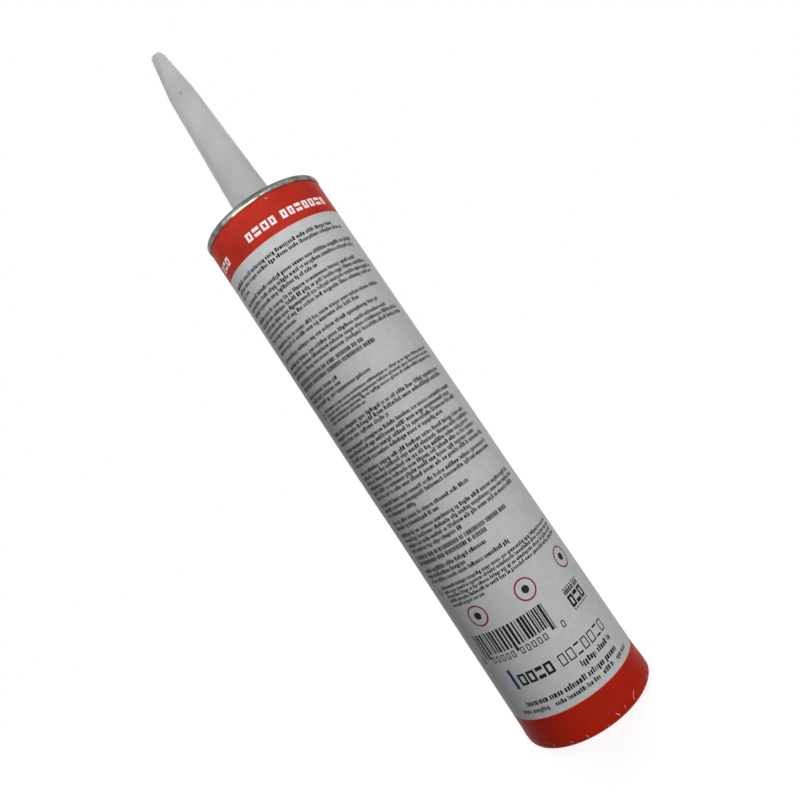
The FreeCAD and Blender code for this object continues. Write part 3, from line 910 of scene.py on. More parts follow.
@dataclass
class Printing:
    """The generic print: bars in rows that read as text from a step away, plain shapes and stripes.

    Places along the wall are millimetres of arc from angle 0, and a span is a start, a stop, a foot
    and a top.
    """

    wall_surface: WallSurface
    left: float = -29.4
    left_drift: float = 0.0155
    bar_height: float = 1.16
    bar_widths: tuple[float, ...] = (0.3, 0.44, 0.54, 0.54, 0.64, 0.78)
    bar_gap: float = 0.22
    word_gap: float = 0.48
    proud: float = 0.012
    sunk: float = 0.03
    seed: int = 73
    paragraphs: tuple[Paragraph, ...] = (
        Paragraph(194.5, (23.0, 27.4, -21.6), lead=14.6),
        Paragraph(186.8, (28.0, 27.1, 7.4), lead=13.1, pitch=2.3),
        Paragraph(179.1, (22.7, 27.4, 29.0, 27.4, -10.0), lead=5.6, pitch=2.2),
        Paragraph(167.1, (25.2, 13.8), lead=4.2),
        Paragraph(161.6, (20.7,), lead=6.0),
        Paragraph(158.4, (21.8, 28.0, 28.0), lead=9.7),
        Paragraph(151.1, (5.8, 8.8), pitch=2.25, capitals=True),
        Paragraph(145.4, (-9.6, -9.5, 1.8)),
        Paragraph(137.9, (27.7, 28.0, 27.9, -5.6), lead=6.1, pitch=1.74, indent=4.2, size=0.82),
        Paragraph(129.1, (27.1, 26.9, -1.5), lead=16.2),
        Paragraph(121.8, (25.8, 23.3, 24.9, 15.7), lead=10.6),
        Paragraph(112.2, (25.5, 26.3, 24.0, 25.8, 23.2, 27.4), lead=9.7, pitch=2.09),
        Paragraph(98.7, (25.2, 25.5, -11.5), lead=10.0),
        Paragraph(91.3, (9.0, -5.0), lead=12.5, pitch=2.2),
        Paragraph(86.1, (27.1, 27.4, 25.1, -2.0), lead=11.9),
        Paragraph(76.7, (14.7, 4.2), pitch=2.2, capitals=True),
        Paragraph(71.4, (1.8, -7.9, 9.5), pitch=2.08),
        Paragraph(64.1, (29.2, 29.3, 29.0, 29.3, -8.8), lead=10.3, pitch=1.75, indent=3.5, size=0.82),
    )
    mark_places: tuple[float, ...] = (-16.0, 3.5, 23.3)
    mark_height: float = 51.2
    mark_radius: float = 3.9
    mark_stroke: float = 0.58
    dot_radius: float = 1.35

    def laid_bars(self, spans: list[Span] | Array) -> Array:
        """Corner points of thin blocks that follow the wall, one for each span.

        The eight corners of a block are the wall's points at its two ends and two heights, once sunk
        under the surface and once proud of it.

        Args:
            spans: rows of start, stop, foot and top in millimetres.

        Returns:
            Array of spans by 8 corners by x, y, z.
        """
        rows = np.asarray(spans, float)
        angle = rows[:, [0, 1, 1, 0, 0, 1, 1, 0]] / self.wall_surface.radius
        height = rows[:, [2, 2, 3, 3, 2, 2, 3, 3]]
        proud = np.where(np.arange(8) < 4, -self.sunk, self.proud)[None, :]
        return self.wall_surface.place(angle, height, np.broadcast_to(proud, angle.shape))

    def bar_mesh(self, name: str, spans: list[Span] | Array) -> bpy.types.Mesh:
        """Makes one mesh of closed blocks, whose faces point outwards."""
        corners = self.laid_bars(spans).reshape(-1, 3)
        pattern = np.array([[0, 3, 2, 1], [4, 5, 6, 7], [0, 1, 5, 4], [1, 2, 6, 5], [2, 3, 7, 6], [3, 0, 4, 7]])
        starts = (np.arange(len(spans)) * 8)[:, None, None]
        return mesh_from(name, corners, [(starts + pattern).reshape(-1, 4)], sharp_degrees=30.0)

    def narrowed(self, spans: list[Span], widest: float = 0.8) -> list[Span]:
        """Cuts spans wider than widest millimetres into equal strips, which then follow the wall."""
        rows: list[Span] = []
        for start, stop, foot, top in spans:
            edges = np.linspace(start, stop, max(1, math.ceil((stop - start) / widest)) + 1)
            rows += [(a, b, foot, top) for a, b in zip(edges[:-1].tolist(), edges[1:].tolist())]
        return rows

    def text_row(self, draw: np.random.Generator, height: float, start: float, stop: float,
                 size: float = 1.0, lead: float = 0.0, capitals: bool = False) -> list[Span]:
        """One greeked line: words of small blocks, some of them taller or reaching lower.

        Args:
            draw: the seeded random source.
            height: the middle of the line in millimetres.
            start: where it starts.
            stop: where it ends.
            size: size of the blocks against plain text.
            lead: over this length the blocks are heavier.
            capitals: whether the blocks are all tall.

        Returns:
            The spans.
        """
        at, spans = start, []
        foot = height - 0.1 - self.bar_height * size / 2.0
        while at < stop - self.bar_widths[0]:
            for _ in range(int(draw.choice([2, 3, 4, 5, 6, 7, 8, 9, 11]))):
                heavy = 1.25 if at < start + lead else 1.0
                width = float(draw.choice(self.bar_widths)) * size
                reach = draw.random()
                if at + width > stop:
                    break
                top = foot + self.bar_height * size * (1.38 if capitals or reach < 0.24 else 1.0)
                base = foot - (0.36 * self.bar_height * size if reach > 0.91 and not capitals else 0.0)
                spans.append((at, at + width, base, top))
                at += width + self.bar_gap * size / heavy * draw.uniform(0.8, 1.3)
            at += self.word_gap * size
        return spans

    def body_text(self) -> bpy.types.Mesh:
        """The long block of small greeked text in paragraphs, and the short lines near the rear."""
        draw = np.random.default_rng(self.seed)
        spans: list[Span] = []
        for block in self.paragraphs:
            for line, end in enumerate(block.ends):
                height = block.top - line * block.pitch
                margin = self.left + (self.paragraphs[0].top - height) * self.left_drift + block.indent
                lead = block.lead if line == 0 else 0.0
                spans += self.text_row(draw, height, margin, end, block.size, lead, block.capitals)
        spans += self.text_row(draw, 17.6, -19.8, 21.0, size=1.3)
        for start, stop in ((-23.5, -11.4), (-9.5, 8.4), (10.0, 15.8), (17.5, 24.9)):
            spans += self.text_row(draw, 14.9, start, stop)
        return self.bar_mesh("small_print", spans)

    def light_text(self) -> bpy.types.Mesh:
        """The lines in thin grey: one under the title, and a row of thin shapes under the stripes."""
        spans = self.text_row(np.random.default_rng(self.seed + 2), 21.4, 5.0, 21.5, size=1.25)
        for start, count in ((-27.9, 1), (-21.9, 5), (-9.3, 5), (7.0, 1)):
            spans += self.sign_row([Sign.FRAME] * count, start, [1.45] * count, 0.78, 33.9, 36.2, 0.36)
        return self.bar_mesh("light_print", self.narrowed(spans))

    def stripe_panel(self) -> bpy.types.Mesh:
        """A panel of upright stripes of random widths, with longer ones at its ends and middle."""
        draw = np.random.default_rng(self.seed + 1)
        start, stop, unit = -25.3, 5.4, 0.33
        at, spans = start, []
        while at < stop:
            width, gap = unit * int(draw.integers(1, 4)), unit * int(draw.integers(1, 3))
            share = (at - start) / (stop - start)
            long_stripe = share < 0.08 or share > 0.92 or 0.46 < share < 0.53
            if at + width < stop:
                spans.append((at, at + width, 35.4 if long_stripe else 37.1, 44.9))
            at += width + gap
        return self.bar_mesh("stripe_panel", self.narrowed(spans))

    @staticmethod
    def sign_row(kinds: list[Sign], start: float, widths: list[float], gap: float, foot: float, top: float,
                 stroke: float) -> list[Span]:
        """A row of plain shapes: hollow frames, and pairs of level bars.

        Args:
            kinds: the shapes, from left to right.
            start: where the row starts.
            widths: the width of each shape.
            gap: the space between two shapes.
            foot: their lower edge.
            top: their upper edge.
            stroke: the thickness of their strokes. Level bars are half as thick again.

        Returns:
            The spans.
        """
        spans: list[Span] = []
        at = start
        for kind, width in zip(kinds, widths):
            right = at + width
            if kind is Sign.FRAME:
                inner = (at + stroke, right - stroke)
                spans += [(at, at + stroke, foot, top), (right - stroke, right, foot, top),
                          (*inner, foot, foot + stroke), (*inner, top - stroke, top)]
            else:
                spans += [(at, right, foot, foot + 1.5 * stroke), (at, right, top - 1.5 * stroke, top)]
            at = right + gap
        return spans

    def heading(self) -> bpy.types.Mesh:
        """White shapes on the front band, as tall and as far apart as its heading's characters."""
        frame, bars = Sign.FRAME, Sign.BARS
        row = {"gap": 0.85, "foot": 202.6, "top": 205.8, "stroke": 0.82}
        spans = self.sign_row([frame, bars, frame, frame], -9.5, [2.4, 2.8, 2.7, 2.3], **row)
        spans += self.sign_row([frame, frame, bars, frame, frame, bars, frame], 5.8,
                               [2.2, 2.2, 2.5, 2.2, 2.4, 2.6, 2.1], **row)
        spans += self.sign_row([frame, bars, frame], -31.3, [2.5, 2.5, 2.6], **row)
        return self.bar_mesh("heading_shapes", self.narrowed(spans))

    def title(self) -> bpy.types.Mesh:
        """Large black shapes near the rear: a few heavy ones, then a row of light ones."""
        frame, bars = Sign.FRAME, Sign.BARS
        spans = self.sign_row([frame, frame, bars, frame], -16.3, [3.0, 3.0, 2.6, 3.0], 0.6, 24.1, 28.2, 0.85)
        spans += self.sign_row([frame, frame, bars, frame, frame, bars, frame], -0.4,
                               [2.4, 2.6, 2.2, 2.4, 2.6, 2.2, 2.4], 0.8, 24.1, 28.0, 0.42)
        spans += self.sign_row([frame, bars, frame], 14.3, [2.6, 2.4, 2.6], 0.45, 36.5, 40.6, 0.85)
        spans += self.text_row(np.random.default_rng(self.seed + 3), 41.8, 14.3, 22.9, size=0.95, capitals=True)
        for height in (35.7, 43.2):
            spans += [(at - 0.3, at + 0.3, height - 0.3, height + 0.3) for at in np.linspace(14.8, 22.6, 7)]
        return self.bar_mesh("title_shapes", self.narrowed(spans))

    def accent(self) -> bpy.types.Mesh:
        """A plain blue bar beside the title."""
        return self.bar_mesh("accent_bar", self.narrowed([(-19.1, -17.7, 23.4, 30.6)]))

    def laid_circles(self, place: float, height: float, sizes: list[tuple[float, float]]) -> Array:
        """Circles round one middle, laid on the wall.

        A point is at the middle plus (cosine, sine) of an angle times the circle's radius, taken as
        arc length and height.

        Args:
            place: the middle along the wall.
            height: its height.
            sizes: radius and proudness of each circle.

        Returns:
            Array of circles by points by x, y, z.
        """
        turn = np.linspace(0.0, FULL_TURN, 48, endpoint=False)
        radii, proud = np.array(sizes).T[..., None]
        angle = (place + radii * np.cos(turn)) / self.wall_surface.radius
        return self.wall_surface.place(angle, height + radii * np.sin(turn), proud)

    def ring(self, place: float, height: float, outer: float, stroke: float) -> Array:
        """A flat ring on the wall, as four circles round its section."""
        inner = outer - stroke
        return self.laid_circles(place, height, [(outer, -self.sunk), (outer, self.proud),
                                                 (inner, self.proud), (inner, -self.sunk)])

    def disc(self, place: float, height: float, radius: float) -> Array:
        """A flat disc on the wall, as circles from its sunken middle round its edge to its proud middle."""
        shares = (0.15, 0.6, 1.0)
        under = [(radius * share, -self.sunk) for share in shares]
        over = [(radius * share, self.proud) for share in reversed(shares)]
        return self.laid_circles(place, height, under + over)

    def loop_mesh(self, name: str, groups: list[Array], closes: bool) -> bpy.types.Mesh:
        """Joins loops of points, row to row, into closed surfaces.

        Args:
            name: the mesh's name.
            groups: for each surface, an array of rows by points by x, y, z, all of one shape.
            closes: whether the last row joins the first. Otherwise both end rows are filled.

        Returns:
            The mesh.
        """
        points = np.stack(groups)
        number = np.arange(points.size // 3).reshape(points.shape[:3])
        upper = np.roll(number, -1, axis=1)
        quads = np.stack([number, np.roll(number, -1, 2), np.roll(upper, -1, 2), upper], axis=-1)
        if closes:
            return mesh_from(name, points.reshape(-1, 3), [quads.reshape(-1, 4)], sharp_degrees=30.0)
        caps = np.concatenate([number[:, 0, ::-1], number[:, -1]])
        return mesh_from(name, points.reshape(-1, 3), [quads[:, :-1].reshape(-1, 4), caps], sharp_degrees=30.0)

    def build(self, inks: dict[Ink, PrintInk]) -> None:
        """Adds the printed marks, each in its ink."""
        dressed = {ink: finish.material() for ink, finish in inks.items()}
        rings = [self.ring(at, self.mark_height, self.mark_radius, self.mark_stroke) for at in self.mark_places]
        discs = [self.disc(at, self.mark_height, self.dot_radius) for at in self.mark_places]
        small = [self.ring(-26.2, height, 1.1, 0.3) for height in (136.6, 62.6)]
        for ink, mesh in (
            (Ink.BLACK, self.body_text()),
            (Ink.GREY, self.light_text()),
            (Ink.BLACK, self.stripe_panel()),
            (Ink.WHITE, self.heading()),
            (Ink.BLACK, self.title()),
            (Ink.BLUE, self.accent()),
            (Ink.RED, self.loop_mesh("round_marks", rings, closes=True)),
            (Ink.BLACK, self.loop_mesh("round_discs", discs, closes=False)),
            (Ink.BLACK, self.loop_mesh("small_rings", small, closes=True)),
        ):
            new_piece(mesh.name, mesh, dressed[ink], CARTRIDGE)


@dataclass(frozen=True)
class Crack:
    """One crack in the print: its middle, its length and width, its turn from the girth and its bow."""

    degrees: float
    height: float
    length: float
    width: float
    tilt: float
    bow: float = 0.0


@dataclass
class EdgeWear:
    """Cracks in the print where the paper was rolled over the rear edge, and a nick by the rim."""

    wall_surface: WallSurface
    proud: float = 0.012
    sunk: float = 0.03
    cracks: tuple[Crack, ...] = (
        Crack(-58.0, 1.5, 1.2, 0.26, 85.0),
        Crack(-45.0, 1.9, 1.3, 0.26, 75.0),
        Crack(-28.5, 1.8, 1.3, 0.23, 140.0),
        Crack(-14.8, 1.5, 1.5, 0.30, 105.0),
        Crack(3.0, 1.0, 0.9, 0.21, 90.0),
        Crack(13.6, 2.1, 2.2, 0.38, 126.0),
        Crack(21.6, 2.4, 1.4, 0.18, 70.0),
        Crack(33.6, 3.0, 3.4, 0.38, 52.0, 0.4),
        Crack(48.0, 1.2, 1.1, 0.26, 100.0),
        Crack(58.0, 1.9, 1.9, 0.36, 80.0),
        Crack(66.0, 1.4, 1.5, 0.38, 95.0, 0.2),
        Crack(84.0, 2.6, 2.2, 0.38, 75.0, 0.3),
        Crack(10.8, 212.4, 1.1, 0.38, 150.0),
    )

    def sliver(self, crack: Crack, lowest: float = 0.15) -> Array:
        """One crack: a bowed lens with pointed ends, laid on the wall and turned by its tilt.

        Along the crack the half width is 0.4 of width times one minus the square of the share of the
        half length, and the middle moves aside by bow times the same. Rows run round the lens: under
        the surface, then proud of it.

        Args:
            crack: the crack.
            lowest: no point lies under this height.

        Returns:
            Array of 4 rows by points by x, y, z.
        """
        along = np.linspace(-1.0, 1.0, 11)
        swell = 1.0 - along**2
        half = 0.4 * crack.width * swell + 0.012
        turn = math.radians(crack.tilt)
        sides = []
        for side, proud in ((-1.0, -self.sunk), (-1.0, self.proud), (1.0, self.proud), (1.0, -self.sunk)):
            x, y = along * crack.length / 2.0, side * half + crack.bow * (swell - 0.5)
            across = x * math.cos(turn) - y * math.sin(turn)
            up = crack.height + x * math.sin(turn) + y * math.cos(turn)
            angle = math.radians(crack.degrees) + across / self.wall_surface.radius
            sides.append(self.wall_surface.place(angle, np.maximum(up, lowest), proud))
        return np.stack(sides)

    def build(self, finish: WornPaper) -> None:
        """Adds all the cracks as one piece of closed slivers."""
        rows = np.stack([self.sliver(crack) for crack in self.cracks])
        cracks, sides, points = rows.shape[:3]
        number = np.arange(cracks * sides * points).reshape(cracks, sides, points)
        upper = np.roll(number, -1, axis=1)
        walls = np.stack([number[..., :-1], number[..., 1:], upper[..., 1:], upper[..., :-1]], axis=-1)
        ends = np.concatenate([number[:, :, 0], number[:, ::-1, -1]])
        mesh = mesh_from("edge_cracks", rows.reshape(-1, 3), [walls.reshape(-1, 4), ends], sharp_degrees=30.0)
        new_piece("edge_cracks", mesh, finish.material(), CARTRIDGE)


@dataclass
class TinEnd:
    """The stamped tin end: hem, crimp, rounded seam, chuck wall, beaded panel and turned-up collar."""

    wall_surface: WallSurface
    rim_height: float
    skirt_radius: float
    panel_underside: float
    collar_radius: float
    tin: float = 0.28
    seam_clearance: float = 0.05
    board: float = 1.0
    crimp_radius: float = 1.1
    corner: float = 0.8
    bead_radius: float = 18.6
    bead_width: float = 2.4
    bead_height: float = 0.7
    collar_corner: float = 0.5
    collar_height: float = 0.9
    ripple: float = 0.03
    columns: int = 320

    def profile(self) -> Array:
        """The stamping's closed outline: from the hem up the skirt, over the seam and in to the collar."""
        face = self.wall_surface
        chuck = face.radius - face.thickness - self.board - self.seam_clearance
        inner = chuck - self.tin
        top = self.panel_underside + self.tin
        seam = (self.skirt_radius - inner) / 2.0
        middle = inner + seam
        seam_height = self.rim_height - seam
        crimp_centre = self.skirt_radius - self.crimp_radius
        crimp_height = self.rim_height - face.seam_height + face.crimp_drop
        drop = -math.degrees(math.asin(face.crimp_drop / self.crimp_radius))
        corner_centre = (inner - self.corner, top + self.corner)
        collar_out = self.collar_radius + self.tin
        collar_centre = (collar_out + self.collar_corner, top + self.collar_corner)
        collar_top = top + self.collar_height
        hump = self.bead_height
        bead_out = self.bead_radius + self.bead_width / 2.0
        bead_in = self.bead_radius - self.bead_width / 2.0
        half = self.tin / 2.0
        return profile_of(
            arc((crimp_centre, crimp_height), self.crimp_radius, drop, 0.0, 6),
            arc((middle, seam_height), seam, 0.0, 180.0, 20),
            arc(corner_centre, self.corner, 0.0, -90.0, 8),
            self.bead(bead_out, bead_in, top, hump, 10),
            arc(collar_centre, self.collar_corner, 270.0, 180.0, 6),
            arc((self.collar_radius + half, collar_top - half), half, 0.0, 180.0, 6),
            arc(collar_centre, self.collar_corner + self.tin, 180.0, 270.0, 6),
            self.bead(bead_in + half, bead_out - half, self.panel_underside, hump, 10),
            arc(corner_centre, self.corner + self.tin, -90.0, 0.0, 8),
            arc((middle, seam_height), seam - self.tin, 180.0, 0.0, 16),
            arc((crimp_centre, crimp_height), self.crimp_radius - self.tin, 0.0, drop, 6),
        )

    @staticmethod
    def bead(start: float, stop: float, level: float, hump: float, steps: int) -> Array:
        """A pressed ring between two radii: the level plus half the hump times one minus a cosine."""
        share = np.linspace(0.0, 1.0, steps + 1)
        rise = hump * 0.5 * (1.0 - np.cos(FULL_TURN * share))
        return np.stack([start + (stop - start) * share, level + rise], axis=1)

    def crimped(self, radius: Array, angle: Array, height: Array) -> tuple[Array, Array]:
        """Marks of the crimping rolls: small seeded ripples of the seam's radius and height."""
        outer = smooth_step(radius, self.bead_radius + 3.0, self.skirt_radius - 0.6)
        ripple = wobble(angle, seed=31, orders=14, lowest=3)
        wave = wobble(angle, seed=32, orders=7, lowest=2)
        return radius + self.ripple * (ripple - 1.0) * outer * 0.5, height + 0.03 * (wave - 1.0) * outer

    def build(self, finish: TarnishedTinplate) -> None:
        """Adds the tin end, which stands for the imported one."""
        mesh = turned_mesh("tin_end", self.profile(), even_angles(self.columns), self.crimped)
        piece = new_piece("tin_end", mesh, finish.material(), CARTRIDGE)
        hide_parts("front_end")


@dataclass
class Nozzle:
    """The hollow moulded nozzle: two cones that meet in a soft bend, and a closed, bevelled tip."""

    seat: float
    top: float
    flange_radius: float
    flange: float = 1.6
    root_radius: float = 8.9
    bend_height: float = 64.9
    bend_radius: float = 5.46
    tip_radius: float = 2.67
    crown: float = 0.1
    wall: float = 1.4
    tip_wall: float = 2.6
    edge_round: float = 0.14
    crease: float = 0.07
    bevel_inset: float = 1.02
    bevel_slope: float = 31.5
    bend_lean: float = 0.25
    tip_lean: float = 0.58
    columns: int = 160

    @property
    def root(self) -> float:
        """Height of the flange's upper face, where the cone starts."""
        return self.seat + self.flange

    @property
    def bend(self) -> float:
        """Height where the lower cone gives way to the upper one."""
        return self.root + self.bend_height

    def lower_skin(self) -> Array:
        """The outline from the bore's blind end down the bore, over the flange and up the cones."""
        foot = self.top - 4.0
        share = (foot - self.bend) / (self.top - self.bend)
        edge = 0.25
        return profile_of(
            (self.tip_radius - self.wall, self.top - self.tip_wall),
            (self.bend_radius - self.wall, self.bend),
            (self.root_radius - self.wall, self.seat),
            arc((self.flange_radius - edge, self.seat + edge), edge, 270.0, 360.0, 4),
            arc((self.flange_radius - edge, self.root - edge), edge, 0.0, 90.0, 4),
            (self.root_radius, self.root),
            self.cone_blend(),
            (self.bend_radius + (self.tip_radius - self.bend_radius) * share, foot),
            longest=4.0,
        )

    def cone_blend(self, reach: float = 1.2) -> Array:
        """The soft bend between the two cones: a parabola that is tangent to both at reach from it."""
        below = (self.root_radius - self.bend_radius) / self.bend_height
        above = (self.bend_radius - self.tip_radius) / (self.top - self.bend)
        share = np.linspace(-1.0, 1.0, 7)
        turned = (above - below) * reach * (share + 1.0) ** 2 / 4.0
        radius = self.bend_radius - below * reach * share - turned
        return np.stack([radius, self.bend + reach * share], axis=1)

    def end_height(self, across: Array, radius: Array) -> Array:
        """Height of the tip's end face.

        The crown is the top less crown times the square of the radius over the tip's radius. The
        bevel is a plane that falls towards +X. The face is the lower of the two, eased over the
        crease: half of their sum less the root of their difference squared plus the crease squared.

        Args:
            across: x of the points.
            radius: their distance from the axis, of the same shape.

        Returns:
            The heights.
        """
        crown = self.top - self.crown * (radius / self.tip_radius) ** 2
        start = self.tip_radius - self.bevel_inset
        plane = self.top - (across - start) / math.tan(math.radians(self.bevel_slope))
        return 0.5 * (crown + plane - np.sqrt((crown - plane) ** 2 + self.crease**2))

    def tip_grid(self, angles: Array, side_rows: int = 14, end_rows: int = 22) -> Array:
        """The tip's side and end.

        Every column of the side runs from 4 mm under the top to just under the end face above it,
        then rounds the edge and follows the end face towards the middle.

        Args:
            angles: the angles of the columns in radians.
            side_rows: rows up the side.
            end_rows: rows across the end face.

        Returns:
            Array of rows by columns by x, y, z.
        """
        taper = (self.bend_radius - self.tip_radius) / (self.top - self.bend)
        foot = self.top - 4.0
        rim = self.tip_radius
        edge = self.end_height(rim * np.sin(angles), np.full_like(angles, rim)) - self.edge_round
        share = np.linspace(0.0, 1.0, side_rows + 1)[1:, None]
        side_height = foot + (edge - foot) * share
        side_radius = rim + taper * (self.top - side_height)
        turn = np.radians(np.array([30.0, 60.0, 90.0]))[:, None]
        edge_radius = side_radius[-1] - self.edge_round * (1.0 - np.cos(turn))
        edge_height = edge + self.edge_round * np.sin(turn)
        inward = np.linspace(1.0, 0.0, end_rows + 2)[1:-1, None]
        end_radius = edge_radius[-1] * inward
        end = self.end_height(end_radius * np.sin(angles), end_radius)
        radius = np.vstack([side_radius, edge_radius, end_radius])
        height = np.vstack([side_height, edge_height, end])
        return np.stack([radius * np.sin(angles), -radius * np.cos(angles), height], axis=-1)

    def build(self, finish: MouldedPolyethylene) -> None:
        """Adds the nozzle, which leans a little towards +X from the root on."""
        angles = even_angles(self.columns)
        grid = np.concatenate([turned_grid(self.lower_skin(), angles), self.tip_grid(angles)])
        middle = self.end_height(np.zeros(1), np.zeros(1))[0]
        poles = np.array([[0.0, 0.0, self.top - self.tip_wall], [0.0, 0.0, middle]])
        for points in (grid, poles):
            lean = np.interp(points[..., 2], [self.root, self.bend, self.top], [0.0, self.bend_lean, self.tip_lean])
            points[..., 0] += lean
        piece = new_piece("nozzle_moulding", skinned_mesh("nozzle_moulding", grid, poles),
                          finish.material(), CARTRIDGE)
        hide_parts("nozzle")


@dataclass
class FoilSeal:
    """The foil disc bonded under the nozzle's flange."""

    radius: float
    foot: float
    top: float
    sag: float = 0.25
    columns: int = 96

    def build(self, finish: SoftFoil) -> None:
        """Adds the disc. Its free middle, over the nozzle's bore, is slightly wrinkled."""
        profile = profile_of((0.0, self.foot), (self.radius, self.foot), (self.radius, self.top),
                             (0.0, self.top), longest=0.8)

        def wrinkled(radius: Array, angle: Array, height: Array) -> tuple[Array, Array]:
            """Lowers the middle by a seeded ripple that fades to nothing under the flange."""
            free = 1.0 - smooth_step(radius, 4.0, 7.4)
            ripple = 0.5 + 0.25 * wobble(angle, seed=41, orders=6, lowest=3) * np.clip(radius / 4.0, 0.0, 1.0)
            return radius, height - self.sag * ripple * free

        mesh = turned_mesh("foil_disc", profile, even_angles(self.columns), wrinkled)
        piece = new_piece("foil_disc", mesh, finish.material(), CARTRIDGE)
        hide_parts("foil_seal")


@dataclass
class Fill:
    """The sealant between the plunger and the front end, which shortens as the plunger slides."""

    radius: float
    foot: float
    top: float
    flange_radius: float
    flange_drop: float
    well_radius: float = 15.2
    well_floor_radius: float = 14.0
    well_depth: float = 2.4
    bevel: float = 1.0
    squashed_share: float = 0.001
    columns: int = 128

    def build(self, finish: SealantPaste) -> None:
        """Adds the fill, which stands for the imported one, on a mesh of its own."""
        face = self.foot + self.well_depth
        profile = profile_of(
            (0.0, self.foot),
            (self.well_floor_radius, self.foot),
            (self.well_radius, face),
            (self.radius - self.bevel, face),
            (self.radius, face + self.bevel),
            (self.radius, self.top),
            (self.flange_radius, self.top),
            (self.flange_radius, self.top - self.flange_drop),
            (0.0, self.top - self.flange_drop),
            longest=6.0,
        )
        mesh = turned_mesh("sealant_fill", profile, even_angles(self.columns))
        piece = new_piece("sealant_fill", mesh, finish.material(), CARTRIDGE)
        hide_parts("sealant")
        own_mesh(piece)


@dataclass
class Plunger:
    """The drawn tin plunger: a well that nests over the nozzle's flange, a skirt and a rolled hem."""

    radius: float
    foot: float
    top: float
    tin: float = 0.3
    corner: float = 2.0
    hem: float = 0.8
    well_radius: float = 15.5
    well_depth: float = 2.4
    well_run: float = 1.2
    columns: int = 192

    def profile(self) -> Array:
        """The cup's outline: its underside from the middle to the hem, then its outside back to the middle."""
        floor = self.top - self.well_depth
        tin, hem = self.tin, self.hem
        hem_centre = (self.radius - hem, self.foot + hem)
        corner_centre = (self.radius - self.corner, self.top - self.corner)
        floor_radius = self.well_radius - self.well_run
        return profile_of(
            (0.0, floor - tin),
            (floor_radius + tin, floor - tin),
            (self.well_radius + tin, self.top - tin),
            arc(corner_centre, self.corner - tin, 90.0, 0.0, 8),
            arc(hem_centre, hem - tin, 0.0, -180.0, 10),
            arc(hem_centre, hem, -180.0, 0.0, 12),
            arc(corner_centre, self.corner, 0.0, 90.0, 8),
            (self.well_radius, self.top),
            (floor_radius, floor),
            (0.0, floor),
            longest=3.0,
        )

    def build(self, finish: DrawnTinplate) -> None:
        """Adds the plunger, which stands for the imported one."""
        mesh = turned_mesh("plunger_cup", self.profile(), even_angles(self.columns))
        piece = new_piece("plunger_cup", mesh, finish.material(), PISTON)
        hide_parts("plunger")


@dataclass(frozen=True)
class Softbox:
    """One soft studio lamp. Those behind the object are kept out of gloss, so that its edges hold their tone."""

    name: str
    place: tuple[float, float, float]
    aim: tuple[float, float, float]
    width: float
    height: float
    watts: float
    spread: float = 180.0
    in_gloss: bool = True

    def build(self) -> None:
        """Adds the lamp, turned to its aim."""
        lamp = bpy.data.lights.new(self.name, "AREA")
        lamp.shape = "RECTANGLE"
        lamp.size, lamp.size_y = self.width, self.height
        lamp.energy = self.watts
        lamp.spread = math.radians(self.spread)
        holder = bpy.data.objects.new(self.name, lamp)
        holder.visible_glossy = self.in_gloss
        bpy.context.scene.collection.objects.link(holder)
        holder.location = self.place
        towards = Vector(self.aim) - Vector(self.place)
        holder.rotation_mode = "QUATERNION"
        holder.rotation_quaternion = towards.to_track_quat("-Z", "Y")


